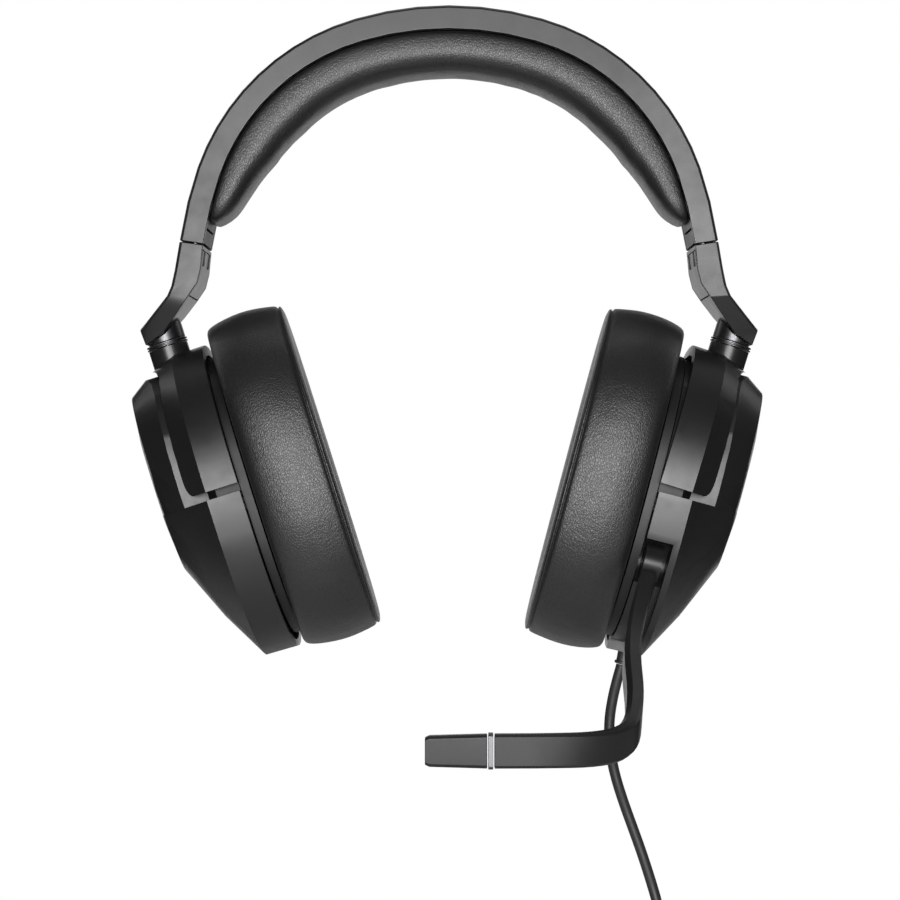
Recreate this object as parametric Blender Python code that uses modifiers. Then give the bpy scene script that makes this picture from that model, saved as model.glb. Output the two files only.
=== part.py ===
"""Wired gaming headset, built as separate pieces on real joints.

Frame: +Z up, -Y is the wearer's front, +X is the wearer's left. The origin is the middle of the
headband pad's underside, where the headset rests on the head.
The two ear cups are the same design turned half round, except that the left one also carries the
microphone boom, the volume wheel and the cord.

Cup coordinates used below: u points outward from the ear, y along world Y, w up along the cup.
"""
import math

import bmesh
import bpy
from mathutils import Matrix, Vector

MM = 0.001
GAP = 0.3 * MM                     # room left between pieces that touch
OVER = 1.0 * MM                    # how far a cutter runs past the faces that it cuts
FAR = 90.0 * MM                    # beyond every face of one cup

# ---------------------------------------------------------------- headband
PAD_UNDERSIDE_DROP = 19.5 * MM     # from the band's top down to the pad's underside
ARCH = ((100.0 * MM, 17.0), (71.0 * MM, 72.0), (126.0 * MM, 81.5))   # radius, angle it runs to
BAND_THICK = 7.1 * MM
BAND_DEPTH = 28.4 * MM
BAND_EDGE = 0.7 * MM               # chamfer along the band's outer edges
COVER_WALL = 1.9 * MM
LINER_THICK = 1.5 * MM
LINER_END = 79.0                   # degrees from the top
ARCH_STATIONS = 15                 # sections along each half of the arch
PAD_SETBACK = 0.7 * MM             # the pad stops this far inside the band, front and rear
PAD_THICK = ((0.0, 12.4), (25.0, 12.8), (45.0, 13.0), (60.0, 11.8), (72.0, 9.0), (75.5, 6.7), (77.1, 4.8),
             (78.3, 2.2))
PAD_CROWN = 0.28                   # share of the pad's thickness taken by its crowned underside
PAD_TOP_SHARE = 0.97               # the pad is this much narrower where it meets the band
END_COLLAR_START = 79.3            # degrees from the top
END_COLLAR_END = 81.3
END_COLLAR_THICK = 1.5 * MM
WIRE_DIAMETER = 1.6 * MM
WIRE_END = 66.0

# ---------------------------------------------------------------- sliding arms
SLIDE_LEAN = math.radians(11.3)    # the strips leave the band leaning outward
SLIDE_TRAVEL = 19.0 * MM
STRIP_HELD = 3.0 * MM              # what stays in the band with the arm fully out
STRIP_IN_ARM = 11.0 * MM
STRIP_THICK = 0.8 * MM
STRIP_WIDTH = 12.0 * MM
STRIP_AXIS_X = 77.0 * MM           # where the strip crosses the seam
SEAM_DROP = 71.0 * MM
ARM_DEPTH_END = 15.2 * MM
# outer x, outer drop, inner x, inner drop, share of the taper from full depth to end depth
ARM_STATIONS = (
    (80.85, 71.0, 73.83, 72.05, 0.0),
    (82.3, 79.5, 74.5, 79.0, 0.0),
    (83.3, 84.2, 75.6, 83.4, 0.0),
    (84.6, 87.2, 78.4, 87.6, 0.0),
    (87.4, 90.4, 81.8, 92.4, 0.3),
    (91.6, 95.1, 86.2, 98.0, 0.8),
    (93.5, 97.2, 91.7, 101.9, 1.0),
)
ARM_COVER_THICK = 1.4 * MM
ARM_COVER_INSET = 1.5 * MM
ARM_COVER_END_GAP = 0.8 * MM       # left between the plate's lower end and its last station
ARM_EDGE = 0.7 * MM
SPRING_THICK = 0.4 * MM
SPRING_WIDTH = 6.0 * MM
SPRING_LENGTH = 9.0 * MM
SPRING_BOW = 0.6 * MM              # its ends stand off the strip by this much
SPRING_ABOVE_SEAM = 2.0 * MM

# ---------------------------------------------------------------- cups: place and turning axes
CUP_X = 48.7 * MM
CUP_DROP = 141.7 * MM
CUP_LEAN = math.radians(17.5)
REST_TILT = {"left": math.radians(2.7), "right": 0.0}   # how far each cup hangs tilted in its fork
POST_U = 23.4 * MM
POST_RADIUS = 6.0 * MM
POST_TOP_W = 61.0 * MM
RING_LOW_W = 49.15 * MM
RING_HIGH_W = 50.35 * MM
RING_PROUD = 0.35 * MM
SWIVEL_PIN_RADIUS = 2.2 * MM
SWIVEL_PIN_LOW_W = 43.6 * MM
SWIVEL_PIN_HIGH_W = 57.0 * MM
TILT_U = 17.5 * MM
TILT_W = 7.0 * MM
TILT_PIN_RADIUS = 2.5 * MM
TILT_PIN_INNER_Y = 31.5 * MM
TILT_PIN_IN_FORK = 1.9 * MM

# ---------------------------------------------------------------- cup shell and fork
RIM_U = 12.4 * MM
OUTLINE_POWER = 2.45               # superellipse power of the cup's outline
RING_COUNT = 44                    # points round a cup section
# u, lowest w, highest w, half depth, share of a wall thickness that the level itself drops
SHELL_LEVELS = (
    (10.0, -49.9, 46.0, 41.0, 0.0),
    (22.3, -49.6, 45.8, 40.8, 0.45),
    (30.4, -35.6, 42.9, 27.6, 0.85),
    (38.3, -18.2, 37.6, 15.5, 1.0),
    (39.9, -6.0, 26.0, 6.0, 1.0),
)
FORK_LEVELS = (
    (10.0, -49.9, 46.0, 41.0, 0.0),
    (21.9, -49.6, 45.8, 40.8, 0.45),
    (28.5, -36.0, 43.5, 28.2, 0.85),
    (33.2, -30.0, 41.0, 20.0, 1.0),
)
SHELL_WALL = 2.0 * MM
UNION_STEP = 0.1 * MM              # keeps the faces of two joined domes from lying in one another
FORK_RIM_U = 12.3 * MM
FORK_THICK = 3.4 * MM
FORK_END_W = 2.7 * MM
SLOT = 2.5 * MM                    # open slot under the fork's two ends
FORK_ROOM_Y = 0.8 * MM             # running room between fork and shell, front and rear
FORK_ROOM_W = 1.55 * MM            # at the top
FORK_ROOM_U = 2.0 * MM             # outward
PLATE_HALF_Y = 27.3 * MM           # raised centre that passes through the fork
PLATE_TOP_W = 41.3 * MM
PLATE_POWER = 3.2
PLATE_SPRING_W = -5.0 * MM         # the sides are straight below this and arched above it
PLATE_STEPS = 14
FORK_NECK_LOW_W = 43.0 * MM        # the round neck under the trim ring
FORK_NECK_RADIUS = 6.1 * MM
SCREW_W = (33.0 * MM, -33.0 * MM)
POST_BOSS_RADIUS = 2.9 * MM

# ---------------------------------------------------------------- driver and baffle
BAFFLE_U = 9.5 * MM
BAFFLE_THICK = 2.6 * MM
BAFFLE_INSET = 4.0 * MM
DRIVER_RADIUS = 25.0 * MM
DRIVER_FRAME_WALL = 1.6 * MM
DRIVER_LIP = 2.4 * MM
DRIVER_FRAME_DEEP = 7.5 * MM
MAGNET_RADIUS = 13.5 * MM
MAGNET_THICK = 4.2 * MM
CONE_THICK = 0.5 * MM
CONE_RISE = 1.3 * MM               # of the ring between the dome and the rim
CONE_DISH = 0.4 * MM
SCRIM_THICK = 0.7 * MM
SCREW_RADIUS = 1.1 * MM
SCREW_HEAD_RADIUS = 2.0 * MM
SCREW_HEAD_THICK = 1.2 * MM
SCREW_LENGTH = 9.0 * MM

# ---------------------------------------------------------------- ear cushion
CUSHION_INNER_U = -12.4 * MM
CUSHION_OUTER_U = 9.2 * MM
CUSHION_HALF_W = 51.3 * MM
CUSHION_HALF_Y = 42.6 * MM
CUSHION_POWER = 2.5
CUSHION_ROUND = 5.0 * MM
EAR_HALF_W = 31.0 * MM
EAR_HALF_Y = 22.0 * MM

# ---------------------------------------------------------------- microphone boom
HUB_U = 15.7 * MM
HUB_Y = -37.5 * MM
HUB_W = -20.5 * MM
HUB_RADIUS = 5.6 * MM
HUB_THICK = 5.2 * MM
HUB_ROOM = 1.8 * MM
HUB_BORE_RADIUS = 1.6 * MM
NOTCH_LOW_U = 12.0 * MM
NOTCH_HIGH_U = 20.4 * MM
NOTCH_WALL = 2.3 * MM
STEP_DEEP = 3.0 * MM               # the wall steps in below the hub, and the boom lies in the step
STEP_END_Y = -2.0 * MM
BOOM_TALL = 9.2 * MM
BOOM_THIN = 4.6 * MM
BOOM_CHAMFER = 1.5 * MM
# route of the boom in the headset's frame, then the direction of its tall side, then its tall share
BOOM_ROUTE = (
    ((57.6, -42.3, -150.4), (0.05, -0.66, 0.75), 0.52),
    ((55.2, -46.8, -157.0), (0.05, -0.66, 0.75), 0.58),
    ((52.8, -52.8, -165.4), (0.05, -0.66, 0.75), 0.76),
    ((51.4, -61.0, -174.0), (0.05, -0.66, 0.75), 0.95),
    ((51.2, -74.0, -183.2), (0.03, -0.60, 0.80), 1.0),
    ((49.6, -84.6, -189.8), (0.00, -0.45, 0.89), 1.0),
    ((45.4, -90.8, -192.9), (0.00, -0.25, 0.97), 1.0),
    ((38.0, -94.6, -194.0), (0.00, -0.10, 1.0), 1.0),
    ((26.0, -96.4, -194.2), (0.00, 0.00, 1.0), 1.0),
    ((12.2, -97.0, -194.2), (0.00, 0.00, 1.0), 1.0),
)
BOOM_STEPS = 4                     # sections between two points of the route
MIC_Y = -97.0 * MM
MIC_Z = -194.2 * MM
MIC_RING_X = 11.8 * MM
MIC_RING_THICK = 1.3 * MM
MIC_RING_PROUD = 0.25 * MM
MIC_HOUSING_LENGTH = 16.6 * MM
MIC_TAPER = 0.9                    # height at the housing's end, as a share of its start
MIC_NOSE = 1.2 * MM                # length of its chamfered end
MIC_NOSE_SHARE = 0.86
CAPSULE_RADIUS = 1.6 * MM
CAPSULE_FROM_END = 6.0 * MM
CAPSULE_SUNK = 0.4 * MM

# ---------------------------------------------------------------- volume wheel and electronics
WHEEL_U = 18.0 * MM
WHEEL_W = -19.0 * MM
WHEEL_RADIUS = 7.4 * MM
WHEEL_THICK = 3.6 * MM
WHEEL_PROUD = 2.2 * MM
WHEEL_ROOM = 0.6 * MM
WHEEL_RIBS = 20
WHEEL_RIB_DEEP = 0.4 * MM
POT_RADIUS = 2.6 * MM
POT_THICK = 2.6 * MM
BOARD_SIZE = (1.2 * MM, 15.0 * MM, 20.0 * MM)
BOARD_PLACE = (28.0 * MM, 13.0 * MM, 4.0 * MM)

# ---------------------------------------------------------------- cord
CORD_DIAMETER = 3.3 * MM
RELIEF_U = 18.4 * MM
RELIEF_Y = 4.0 * MM
RELIEF_TOP_W = -43.2 * MM          # its upper end, inside the cup
RELIEF_TOP_RADIUS = 3.0 * MM
RELIEF_END_RADIUS = 2.3 * MM
# the free stretch between strain relief and coil, chosen by hand
CORD_ROUTE = (
    (52.9, 4.0, -180.0), (51.5, 4.0, -185.0), (50.2, 3.9, -190.5), (49.3, 3.7, -196.5),
    (49.2, 3.3, -202.5), (49.9, 2.9, -208.8), (51.3, 2.4, -215.0), (53.5, 1.8, -222.0),
    (56.0, 1.2, -229.0), (58.5, 0.6, -236.0), (60.8, 0.0, -243.0), (62.9, -0.8, -250.0),
    (64.4, -2.2, -256.0), (65.3, -4.0, -261.0), (65.5, -5.0, -264.6),
)
CORD_STEP = 7.5 * MM               # spacing of the tube's points
COIL_CENTRE = (43.6 * MM, 0.0, -283.0 * MM)
COIL_RADIUS = 19.8 * MM            # to the middle of the bundle
COIL_BUNDLE = 7.6 * MM             # radius of the bundle of turns
COIL_SIDES = 10
# the last stretch hangs from the coil's outer side down to the plug
TAIL_ROUTE = ((61.7, 5.2, -303.6), (61.8, 5.2, -307.0), (61.9, 5.1, -310.5), (61.9, 5.0, -314.0))
TAIL_STEP = 4.0 * MM
TIE_HALF_WIDTH = 5.0 * MM
TIE_THICK = 1.0 * MM
TIE_ROOM = 0.7 * MM                # the strap is straight and the bundle is curved
TIE_SIDES = 20
PLUG_RADIUS = 4.0 * MM
PLUG_LENGTH = 21.0 * MM
PLUG_NECK_RADIUS = 2.5 * MM
PLUG_NECK_LENGTH = 5.0 * MM
PLUG_EDGE = 1.0 * MM
PLUG_PIN_RADIUS = 1.75 * MM
PLUG_PIN_LENGTH = 14.0 * MM
PLUG_TIP_LENGTH = 2.5 * MM

# colour, roughness, metallic
FINISHES = {
    "band plastic": ((0.060, 0.060, 0.063), 0.42, 0.0),
    "cup plastic": ((0.070, 0.070, 0.074), 0.38, 0.0),
    "inner plastic": ((0.020, 0.020, 0.021), 0.55, 0.0),
    "boom plastic": ((0.030, 0.030, 0.031), 0.45, 0.0),
    "wheel plastic": ((0.022, 0.022, 0.023), 0.55, 0.0),
    "leatherette": ((0.030, 0.030, 0.031), 0.50, 0.0),
    "speaker cloth": ((0.018, 0.018, 0.019), 0.95, 0.0),
    "spring steel": ((0.42, 0.42, 0.44), 0.35, 1.0),
    "bright trim": ((0.55, 0.55, 0.57), 0.25, 1.0),
    "dark metal": ((0.10, 0.10, 0.105), 0.35, 0.8),
    "cord rubber": ((0.022, 0.022, 0.023), 0.60, 0.0),
    "circuit board": ((0.02, 0.10, 0.05), 0.50, 0.0),
    "cone film": ((0.25, 0.22, 0.18), 0.40, 0.0),
    "gold plate": ((0.75, 0.58, 0.28), 0.25, 1.0),
}


# ================================================================ scene and helpers

def clear_scene():
    for item in list(bpy.data.objects):
        bpy.data.objects.remove(item, do_unlink=True)


clear_scene()
PARTS = bpy.data.collections.new("gaming_headset")
CUTTERS = bpy.data.collections.new("cutters")
for new_collection in (PARTS, CUTTERS):
    bpy.context.scene.collection.children.link(new_collection)


def finish_material(name):
    """One Principled material per finish, made the first time that it is asked for."""
    if name in bpy.data.materials:
        return bpy.data.materials[name]
    colour, roughness, metallic = FINISHES[name]
    material = bpy.data.materials.new(name)
    material.use_nodes = True
    shader = material.node_tree.nodes["Principled BSDF"]
    shader.inputs["Base Color"].default_value = (*colour, 1.0)
    shader.inputs["Roughness"].default_value = roughness
    shader.inputs["Metallic"].default_value = metallic
    material.diffuse_color = (*colour, 1.0)
    return material


def link_part(obj, finish, parent=None, offset=(0.0, 0.0, 0.0)):
    """Put a finished piece in the headset's collection, under its frame."""
    for collection in list(obj.users_collection):
        collection.objects.unlink(obj)
    PARTS.objects.link(obj)
    obj.data.materials.clear()
    obj.data.materials.append(finish_material(finish))
    obj.parent = parent
    obj.location = offset
    return obj


def link_cutter(obj, parent=None, offset=(0.0, 0.0, 0.0)):
    for collection in list(obj.users_collection):
        collection.objects.unlink(obj)
    CUTTERS.objects.link(obj)
    obj.display_type = "WIRE"
    obj.hide_render = True
    obj.parent = parent
    obj.location = offset
    return obj


def mesh_object(name, work):
    """An object from a bmesh, with its faces turned outward."""
    bmesh.ops.recalc_face_normals(work, faces=work.faces)
    mesh = bpy.data.meshes.new(name)
    work.to_mesh(mesh)
    work.free()
    obj = bpy.data.objects.new(name, mesh)
    bpy.context.scene.collection.objects.link(obj)
    return obj


def loft(name, sections, closed=False):
    """Skin a run of sections that have the same number of points; the ends get caps."""
    work = bmesh.new()
    rings = [[work.verts.new(point) for point in section] for section in sections]
    count = len(rings[0])
    pairs = list(zip(rings, rings[1:]))
    if closed:
        pairs.append((rings[-1], rings[0]))
    for low, high in pairs:
        for k in range(count):
            n = (k + 1) % count
            work.faces.new((low[k], low[n], high[n], high[k]))
    if not closed:
        work.faces.new(list(reversed(rings[0])))
        work.faces.new(rings[-1])
    return mesh_object(name, work)


def box(name, low, high):
    """A box between two corners."""
    work = bmesh.new()
    bmesh.ops.create_cube(work, size=1.0)
    for vert in work.verts:
        for axis in range(3):
            vert.co[axis] = (low[axis] + high[axis]) / 2 + vert.co[axis] * (high[axis] - low[axis])
    return mesh_object(name, work)


def cylinder(name, radius, start, end, sides=24):
    """A round bar between two points."""
    start, end = Vector(start), Vector(end)
    work = bmesh.new()
    bmesh.ops.create_cone(work, cap_ends=True, segments=sides, radius1=radius, radius2=radius,
                          depth=(end - start).length)
    turn = (end - start).to_track_quat("Z", "Y").to_matrix().to_4x4()
    bmesh.ops.transform(work, matrix=Matrix.Translation((start + end) / 2) @ turn, verts=work.verts)
    return mesh_object(name, work)


def turned(name, profile, steps=32):
    """A body turned about local Z from (radius, height) points, outer side running downward."""
    work = bmesh.new()
    verts = [work.verts.new((radius, 0.0, height)) for radius, height in profile]
    closed_profile = profile[0][0] > 0.0 and profile[-1][0] > 0.0
    for first, second in zip(verts, verts[1:]):
        work.edges.new((first, second))
    if closed_profile:
        work.edges.new((verts[-1], verts[0]))
    mesh = bpy.data.meshes.new(name)
    work.to_mesh(mesh)
    work.free()
    obj = bpy.data.objects.new(name, mesh)
    bpy.context.scene.collection.objects.link(obj)
    screw = obj.modifiers.new("Turn", "SCREW")
    screw.steps = steps
    screw.render_steps = steps
    screw.use_merge_vertices = True
    screw.merge_threshold = 0.00001
    return obj


def tube(name, points, radius, resolution=2):
    """A round wire or cord through the points."""
    curve = bpy.data.curves.new(name, "CURVE")
    curve.dimensions = "3D"
    curve.bevel_depth = radius
    curve.bevel_resolution = resolution
    curve.use_fill_caps = True
    spline = curve.splines.new("POLY")
    spline.points.add(len(points) - 1)
    for target, point in zip(spline.points, points):
        target.co = (*point, 1.0)
    obj = bpy.data.objects.new(name, curve)
    bpy.context.scene.collection.objects.link(obj)
    return obj


def boolean(obj, cutter, operation):
    modifier = obj.modifiers.new(operation.title(), "BOOLEAN")
    modifier.operation = operation
    modifier.object = cutter
    modifier.solver = "EXACT"


def smooth_faces(obj, angle=35.0):
    obj.data.shade_smooth()
    obj.data.set_sharp_from_angle(angle=math.radians(angle))


def blend_values(pairs, at):
    """Straight-line value between listed (place, value) pairs."""
    for (low, first), (high, second) in zip(pairs, pairs[1:]):
        if at <= high:
            return first + (second - first) * (at - low) / (high - low)
    return pairs[-1][1]


def catmull(points, steps):
    """Points on a smooth curve through the given ones."""
    padded = [points[0] * 2 - points[1]] + list(points) + [points[-1] * 2 - points[-2]]
    smooth = []
    for k in range(1, len(padded) - 2):
        p0, p1, p2, p3 = padded[k - 1:k + 3]
        for step in range(steps):
            t = step / steps
            smooth.append(0.5 * ((2 * p1) + (p2 - p0) * t + (2 * p0 - 5 * p1 + 4 * p2 - p3) * t * t
                                 + (3 * p1 - p0 - 3 * p2 + p3) * t ** 3))
    smooth.append(points[-1].copy())
    return smooth


def even_points(points, spacing):
    """The same route with points an even distance apart."""
    fine = catmull(points, 24)
    total = sum((b - a).length for a, b in zip(fine, fine[1:]))
    count = max(2, round(total / spacing))
    wanted = [total * k / count for k in range(count + 1)]
    even = [fine[0]]
    run = 0.0
    for a, b in zip(fine, fine[1:]):
        length = (b - a).length
        while len(even) < count and run + length >= wanted[len(even)]:
            even.append(a.lerp(b, (wanted[len(even)] - run) / length))
        run += length
    even.append(fine[-1])
    return even


# ================================================================ frames on the joint axes

def fork_matrix(side):
    """Cup coordinates (u, y, w) to the headset's frame; the right side is turned half round."""
    half_turn = Matrix.Identity(4) if side > 0 else Matrix.Rotation(math.pi, 4, "Z")
    place = Matrix.Translation((CUP_X, 0.0, PAD_UNDERSIDE_DROP - CUP_DROP))
    return half_turn @ place @ Matrix.Rotation(CUP_LEAN, 4, "Y")


def cup_matrix(side):
    """The same for the cup, which hangs a little tilted about its pivot pins."""
    pins = Matrix.Translation((TILT_U, 0.0, TILT_W))
    tilt = Matrix.Rotation(-REST_TILT["left" if side > 0 else "right"], 4, "Y")
    return fork_matrix(side) @ pins @ tilt @ pins.inverted()


def axis_empty(name, matrix, offset):
    """An empty on a joint's axis, turned like the frame that it belongs to."""
    empty = bpy.data.objects.new(name, None)
    empty.empty_display_size = 0.01
    PARTS.objects.link(empty)
    placed = matrix @ Matrix.Translation(offset)
    empty.location = placed.to_translation()
    empty.rotation_euler = placed.to_euler()
    return empty


class Side:
    """The frames of one side: sliding arm, swivelling fork and tilting cup."""

    def __init__(self, name, side):
        self.name = name
        self.side = side
        half_turn = Matrix.Identity(4) if side > 0 else Matrix.Rotation(math.pi, 4, "Z")
        fork = fork_matrix(side)
        cup = cup_matrix(side)
        self.arm_origin = Vector((STRIP_AXIS_X, 0.0, PAD_UNDERSIDE_DROP - SEAM_DROP))
        self.swivel_origin = Vector((POST_U, 0.0, RING_LOW_W))
        self.tilt_origin = Vector((TILT_U, 0.0, TILT_W))
        self.arm = axis_empty(f"{name}_slide_axis", half_turn, self.arm_origin)
        self.fork = axis_empty(f"{name}_swivel_axis", fork, self.swivel_origin)
        self.cup = axis_empty(f"{name}_tilt_axis", cup, self.tilt_origin)

    def arm_part(self, obj, finish):
        return link_part(obj, finish, self.arm, -self.arm_origin)

    def post_part(self, obj, finish):
        """A piece of the arm that is drawn in cup coordinates, round the swivel axis."""
        return link_part(obj, finish, self.fork, -self.swivel_origin)

    def fork_part(self, obj, finish):
        return link_part(obj, finish, self.fork, -self.swivel_origin)

    def cup_part(self, obj, finish):
        return link_part(obj, finish, self.cup, -self.tilt_origin)

    def cup_cutter(self, obj):
        return link_cutter(obj, self.cup, -self.tilt_origin)

    def fork_cutter(self, obj):
        return link_cutter(obj, self.fork, -self.swivel_origin)

    def arm_cutter(self, obj):
        return link_cutter(obj, self.arm, -self.arm_origin)


# ================================================================ headband

def arch_point(angle, inset, y=0.0):
    """A point on the band: angle from the top in degrees, inset from the outer face."""
    turn = math.radians(abs(angle))
    x, drop, reached = 0.0, 0.0, 0.0
    for radius, limit in ARCH:
        end = min(turn, math.radians(limit))
        if end > reached:
            x += radius * (math.sin(end) - math.sin(reached))
            drop += radius * (math.cos(reached) - math.cos(end))
            reached = end
    x -= inset * math.sin(turn)
    drop += inset * math.cos(turn)
    return Vector((math.copysign(x, angle) if angle else 0.0, y, PAD_UNDERSIDE_DROP - drop))


def arch_angles(limit):
    return [limit * k / ARCH_STATIONS for k in range(-ARCH_STATIONS, ARCH_STATIONS + 1)]


def arch_band(name, outline, limit):
    """Sweep an outline of (inset, y) points along the arch from -limit to +limit."""
    return loft(name, [[arch_point(angle, inset, y) for inset, y in outline]
                       for angle in arch_angles(limit)])


def make_headband():
    half = BAND_DEPTH / 2
    limit = ARCH[-1][1]
    edge = BAND_EDGE
    inside = half - COVER_WALL
    channel = ((edge, -half), (0.0, -half + edge), (0.0, half - edge), (edge, half),
               (BAND_THICK, half), (BAND_THICK, inside), (COVER_WALL, inside),
               (COVER_WALL, -inside), (BAND_THICK, -inside), (BAND_THICK, -half))
    link_part(arch_band("headband_top_cover", channel, limit), "band plastic")

    liner_half = inside - GAP
    liner = ((BAND_THICK - LINER_THICK, -liner_half), (BAND_THICK - LINER_THICK, liner_half),
             (BAND_THICK, liner_half), (BAND_THICK, -liner_half))
    link_part(arch_band("headband_inner_liner", liner, LINER_END), "inner plastic")

    pad_top = BAND_THICK + GAP
    pad_half = BAND_DEPTH / 2 - PAD_SETBACK
    sections = []
    for angle in arch_angles(PAD_THICK[-1][0]):
        thick = blend_values(PAD_THICK, abs(angle)) * MM - GAP
        low = pad_top + thick
        shoulder = pad_top + thick * (1.0 - PAD_CROWN)
        narrow = pad_half * PAD_TOP_SHARE
        section = [(pad_top, -narrow), (pad_top, narrow), (shoulder, pad_half)]
        section += [(shoulder + (low - shoulder) * math.sin(turn), pad_half * math.cos(turn))
                    for turn in (math.pi * k / 6 for k in range(1, 6))]
        section += [(shoulder, -pad_half)]
        sections.append([arch_point(angle, inset, y) for inset, y in section])
    link_part(smooth_loft("headband_pad", sections), "leatherette")

    wire_inset = (COVER_WALL + BAND_THICK - LINER_THICK) / 2
    # midway between the slider strips and the cover's rear wall
    wire_y = (STRIP_WIDTH + BAND_DEPTH) / 4 - COVER_WALL / 2
    points = [arch_point(angle, wire_inset, wire_y)
              for angle in (WIRE_END * k / ARCH_STATIONS for k in range(-ARCH_STATIONS, ARCH_STATIONS + 1))]
    link_part(tube("bridge_wire", points, WIRE_DIAMETER / 2, 1), "cord rubber")


def smooth_loft(name, sections):
    obj = loft(name, sections)
    smooth_faces(obj, 50.0)
    return obj


def make_band_end(side):
    """The collar and the detent spring where an arm leaves the band."""
    sign = side.side
    half = BAND_DEPTH / 2 - COVER_WALL - GAP
    outline = ((BAND_THICK - END_COLLAR_THICK, -half), (BAND_THICK - END_COLLAR_THICK, half),
               (BAND_THICK, half), (BAND_THICK, -half))
    sections = [[arch_point(sign * angle, inset, y) for inset, y in outline]
                for angle in (END_COLLAR_START, END_COLLAR_END)]
    link_part(loft(f"{side.name}_end_collar", sections), "inner plastic")

    lift = STRIP_THICK / 2 + GAP
    outward = Vector((math.cos(SLIDE_LEAN), 0.0, math.sin(SLIDE_LEAN)))
    upward = Vector((-math.sin(SLIDE_LEAN), 0.0, math.cos(SLIDE_LEAN)))
    base = side.arm_origin + upward * SPRING_ABOVE_SEAM
    profile = []
    for run, rise in ((0.0, SPRING_BOW), (0.5, 0.0), (1.0, SPRING_BOW)):
        profile.append(base + upward * SPRING_LENGTH * run + outward * (lift + rise))
    back = [point + outward * SPRING_THICK for point in reversed(profile)]
    outline = profile + back
    sections = [[Vector((sign * p.x, y, p.z)) for p in outline]
                for y in (-SPRING_WIDTH / 2, SPRING_WIDTH / 2)]
    link_part(loft(f"{side.name}_detent_spring", sections), "spring steel")


# ================================================================ sliding arms

def arm_section(station, grow=0.0, reach=0.0):
    """One rounded section of the arm, grown all round or carried further outward."""
    outer = Vector((station[0] * MM, 0.0, PAD_UNDERSIDE_DROP - station[1] * MM))
    inner = Vector((station[2] * MM, 0.0, PAD_UNDERSIDE_DROP - station[3] * MM))
    half = (BAND_DEPTH + (ARM_DEPTH_END - BAND_DEPTH) * station[4]) / 2 + grow
    across = (inner - outer).normalized()
    outer = outer - across * (grow + reach)
    inner = inner + across * grow
    edge = ARM_EDGE
    depth = Vector((0.0, 1.0, 0.0))
    return [outer + across * edge - depth * half, outer - depth * (half - edge),
            outer + depth * (half - edge), outer + across * edge + depth * half,
            inner + depth * half, inner - depth * half]


def strip_point(run):
    """A point on the strip's middle line, run upward from the seam."""
    return Vector((STRIP_AXIS_X - math.sin(SLIDE_LEAN) * run, 0.0,
                   PAD_UNDERSIDE_DROP - SEAM_DROP + math.cos(SLIDE_LEAN) * run))


def strip_block(name, low_run, high_run, half_thick, half_width):
    """A straight block along the slide direction."""
    outward = Vector((math.cos(SLIDE_LEAN), 0.0, math.sin(SLIDE_LEAN))) * half_thick
    depth = Vector((0.0, half_width, 0.0))
    return loft(name, [[strip_point(run) + outward + depth, strip_point(run) + outward - depth,
                        strip_point(run) - outward - depth, strip_point(run) - outward + depth]
                       for run in (low_run, high_run)])


def make_arm(side):
    name = side.name
    side.arm_part(strip_block(f"{name}_slider_strip", -STRIP_IN_ARM, SLIDE_TRAVEL + STRIP_HELD,
                              STRIP_THICK / 2, STRIP_WIDTH / 2), "spring steel")

    cover = loft(f"{name}_arm_cover", [arm_section(station) for station in ARM_STATIONS])
    slot = strip_block(f"{name}_strip_slot", -STRIP_IN_ARM - GAP, OVER * 4,
                       STRIP_THICK / 2 + GAP, STRIP_WIDTH / 2 + GAP)
    boolean(cover, side.arm_cutter(slot), "DIFFERENCE")
    recess = inner_plate(f"{name}_arm_recess", GAP, OVER)
    boolean(cover, side.arm_cutter(recess), "DIFFERENCE")
    bore = cylinder(f"{name}_arm_bore", SWIVEL_PIN_RADIUS + GAP, (POST_U, 0.0, RING_LOW_W),
                    (POST_U, 0.0, SWIVEL_PIN_HIGH_W + GAP))
    boolean(cover, side.fork_cutter(bore), "DIFFERENCE")
    side.arm_part(cover, "band plastic")
    side.arm_part(inner_plate(f"{name}_arm_inner_cover", 0.0, 0.0), "inner plastic")

    barrel = cylinder(f"{name}_pivot_barrel", POST_RADIUS, (POST_U, 0.0, RING_HIGH_W + GAP),
                      (POST_U, 0.0, POST_TOP_W), 32)
    grown = loft(f"{name}_arm_envelope", [arm_section(station, GAP, POST_RADIUS * 2)
                                          for station in ARM_STATIONS[2:]] + [beyond_arm_end()])
    boolean(barrel, side.arm_cutter(grown), "DIFFERENCE")
    boolean(barrel, side.fork_cutter(cylinder(
        f"{name}_barrel_bore", SWIVEL_PIN_RADIUS + GAP, (POST_U, 0.0, RING_LOW_W),
        (POST_U, 0.0, POST_TOP_W + OVER))), "DIFFERENCE")
    side.post_part(barrel, "dark metal")

    ring = turned(f"{name}_trim_ring", ring_profile(
        POST_RADIUS + RING_PROUD, SWIVEL_PIN_RADIUS + GAP, RING_LOW_W, RING_HIGH_W), 32)
    link_part(ring, "bright trim", side.fork, Vector((POST_U, 0.0, 0.0)) - side.swivel_origin)
    smooth_faces(ring)


def beyond_arm_end():
    """The arm's last section carried on outward, so that the barrel is cut cleanly."""
    last = arm_section(ARM_STATIONS[-1], GAP, POST_RADIUS * 2)
    before = arm_section(ARM_STATIONS[-2], GAP, POST_RADIUS * 2)
    push = (last[-1] - before[-1]).normalized() * POST_RADIUS
    return [point + push for point in last]


def ring_profile(outer, inner, low, high):
    return ((outer, high), (outer, low), (inner, low), (inner, high))


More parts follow.
